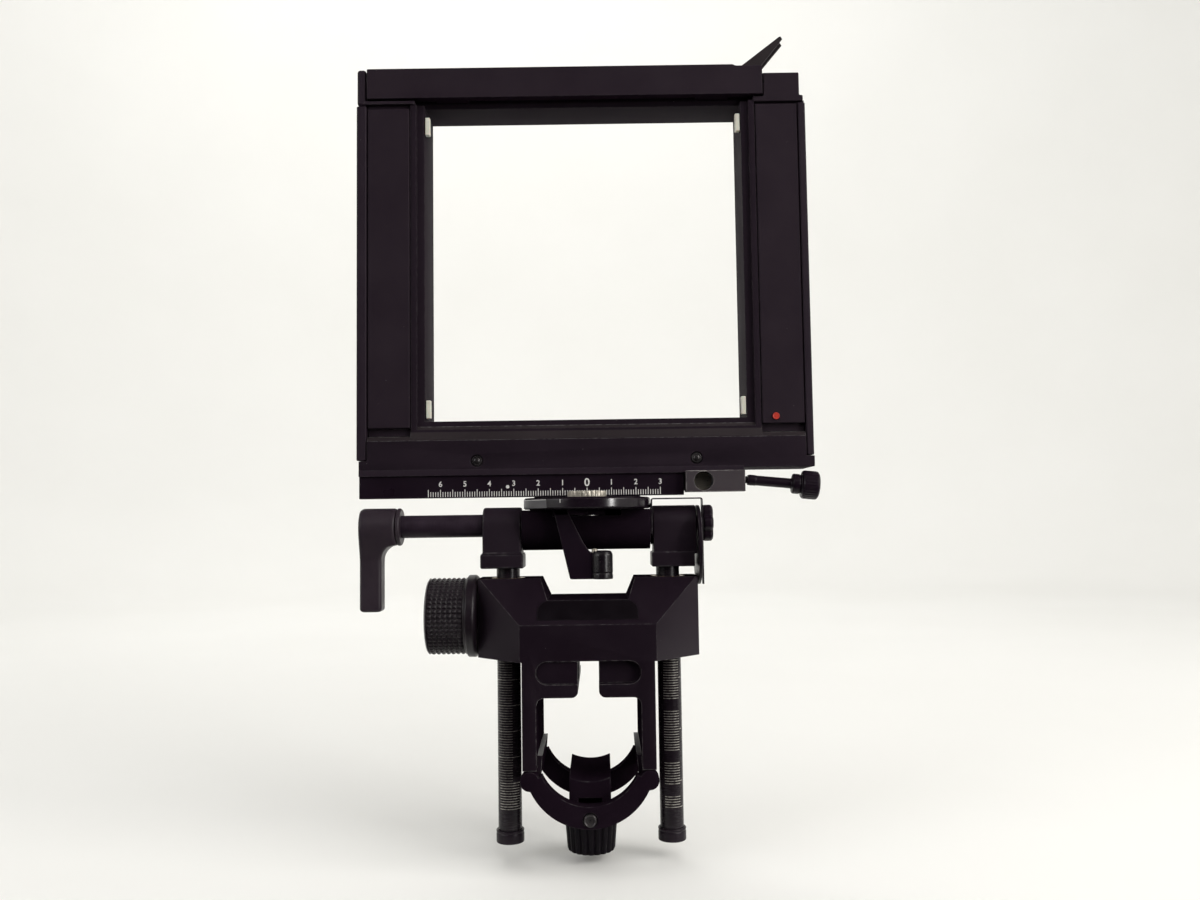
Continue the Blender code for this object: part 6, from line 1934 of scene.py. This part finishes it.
@dataclass
class Studio:
    """A pale round cove, soft lamps and the camera."""

    focal: float = 1050.0
    image: tuple[int, int] = (1200, 900)
    pitch: float = math.radians(3.7)
    roll: float = math.radians(0.8)
    aim: Point = (0.0, 7.0, 90.5)
    aim_pixel: tuple[float, float] = (587.1, 492.0)
    distance: float = 429.8
    floor: float = -54.0
    cove_radius: float = 1500.0
    cove_bend: float = 700.0
    cove_top: float = 2600.0
    paper: tuple[Colour, Colour] = ((0.83, 0.825, 0.80), (0.87, 0.865, 0.845))
    shade: Colour = (0.005, 0.005, 0.005)
    shade_front: tuple[float, float] = (-0.035, -0.10)
    shade_side: tuple[float, float] = (1.4, 1.0)
    shade_top: tuple[float, float] = (1.6, 1.4)
    room: Colour = (0.95, 0.95, 0.93)
    room_light: float = 0.35
    lights: tuple[Lamp, ...] = (
        Lamp("overhead", (0.15, -0.4, 1.9), (0.0, 0.0, 0.1), 1.7, 6.8),
        Lamp("wall_wash", (-0.2, 0.9, 1.8), (0.0, 2.2, 0.9), 1.2, 15.2, (1.0, 1.0, 0.99)),
        Lamp("front_fill", (0.45, -1.15, 1.0), (0.0, 0.0, 0.12), 1.1, 6.6),
        Lamp("back_fill", (-0.5, 1.2, 1.1), (0.0, 0.0, 0.1), 1.0, 2.6, (1.0, 1.0, 0.99)),
        Lamp("right_side", (1.1, -0.6, 0.7), (0.0, 0.0, 0.1), 0.8, 10.0, (1.0, 0.98, 0.95), True),
        Lamp("window", (0.95, -0.95, 0.14), (0.0, 0.0, 0.09), 0.12, 3.6, mirrored=True),
        Lamp("left_side", (-1.15, -0.8, 0.6), (0.0, 0.0, 0.1), 0.8, 5.2, (0.97, 0.98, 1.0), True))

    def build(self) -> None:
        """Sets up the stage."""
        self.camera()
        self.cove()
        self.lamps()
        bpy.context.scene.view_settings.view_transform = "Standard"

    def camera(self) -> None:
        """Stands the camera where the aim falls on its pixel at its distance, pitched and rolled."""
        s, c = math.sin(self.pitch), math.cos(self.pitch)
        level = np.array(((1, 0, 0), (0, s, -c), (0, c, s)))
        cr, sr = math.cos(self.roll), math.sin(self.roll)
        turn = np.array(((cr, sr, 0), (-sr, cr, 0), (0, 0, 1))) @ level
        wide, high = self.image
        seen = self.distance * np.array(((self.aim_pixel[0] - wide / 2) / self.focal,
                                         (self.aim_pixel[1] - high / 2) / self.focal, 1.0))
        place = np.asarray(self.aim) - turn.T @ seen
        axes = turn * np.array((1, -1, -1))[:, None]
        data = bpy.data.cameras.new("photo_camera")
        data.sensor_width = 36.0
        data.lens = self.focal * data.sensor_width / wide
        data.clip_start, data.clip_end = 0.01, 20.0
        camera = placed("photo_camera", data)
        stand(camera, axes.T, place * MM)
        bpy.context.scene.camera = camera

    def cove(self) -> None:
        """A floor that curves up into a round wall: a turned line of floor, quarter circle and wall."""
        r, b = self.cove_radius, self.cove_bend
        bend = arc((r, self.floor + b), b, -90, 0, 24)
        profile = np.vstack(([(0, self.floor), (r * 0.5, self.floor)], bend, [(r + b, self.cove_top)]))
        shell = turned(profile, steps=96)
        shell.caps.clear()
        mesh = mesh_of("cove", shell, closed=False)
        cove = placed("cove", mesh)
        sketch = Sketch("pale_paper")
        paper = sketch.mix(sketch.noise(250, 2.0), *self.paper)
        base = sketch.mix(self.shaded(sketch), paper, self.shade)
        sketch.dress(Base_Color=base, Roughness=0.9, Specular_IOR_Level=0.1)
        mesh.materials.append(sketch.material)

    def shaded(self, sketch: Sketch) -> bpy.types.NodeSocket:
        """Where the cove in front of the object gives no light back, as if black cards lay round the camera.

        Args:
            sketch: The cove's material.

        Returns:
            1 for a ray that comes from another surface and meets the cove's front, 0 elsewhere and for
            every camera.
        """
        path = sketch.add("ShaderNodeLightPath")
        place = sketch.add("ShaderNodeSeparateXYZ")
        sketch.feed(place.inputs[0], sketch.place)
        front = sketch.span(place.outputs["Y"], *self.shade_front)
        middle = sketch.span(sketch.math("ABSOLUTE", place.outputs["X"], 0.0), *self.shade_side)
        low = sketch.span(place.outputs["Z"], *self.shade_top)
        bounced = sketch.math("MAXIMUM", path.outputs["Is Diffuse Ray"], path.outputs["Is Glossy Ray"])
        near = sketch.math("MULTIPLY", front, middle)
        return sketch.math("MULTIPLY", near, sketch.math("MULTIPLY", low, bounced))

    def lamps(self) -> None:
        """Hangs the lamps and lights the room faintly."""
        for lamp in self.lights:
            lamp.hang()
        world = bpy.data.worlds.new("pale_room")
        world.use_nodes = True
        glow = world.node_tree.nodes["Background"]
        glow.inputs["Color"].default_value = (*self.room, 1.0)
        glow.inputs["Strength"].default_value = self.room_light
        bpy.context.scene.world = world
        world.cycles_visibility.glossy = False


def main() -> None:
    """Builds the sub-assemblies in order."""
    logging.basicConfig(level=logging.INFO, format="%(name)s: %(message)s")
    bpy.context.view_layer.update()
    Studio().build()
    bodies = frame["record"]["behaviour"]["bodies"]
    for kind in (RailBearer, RailClamp, RiseLock, Columns, TiltLock, TiltHead, SwingLock, Turntable, ShiftScale,
                 BoardFrame, Retainer):
        LOG.info("building %s", kind.__name__)
        kind(frame["nodes"], bodies).build()


if __name__ == "__main__":
    main()
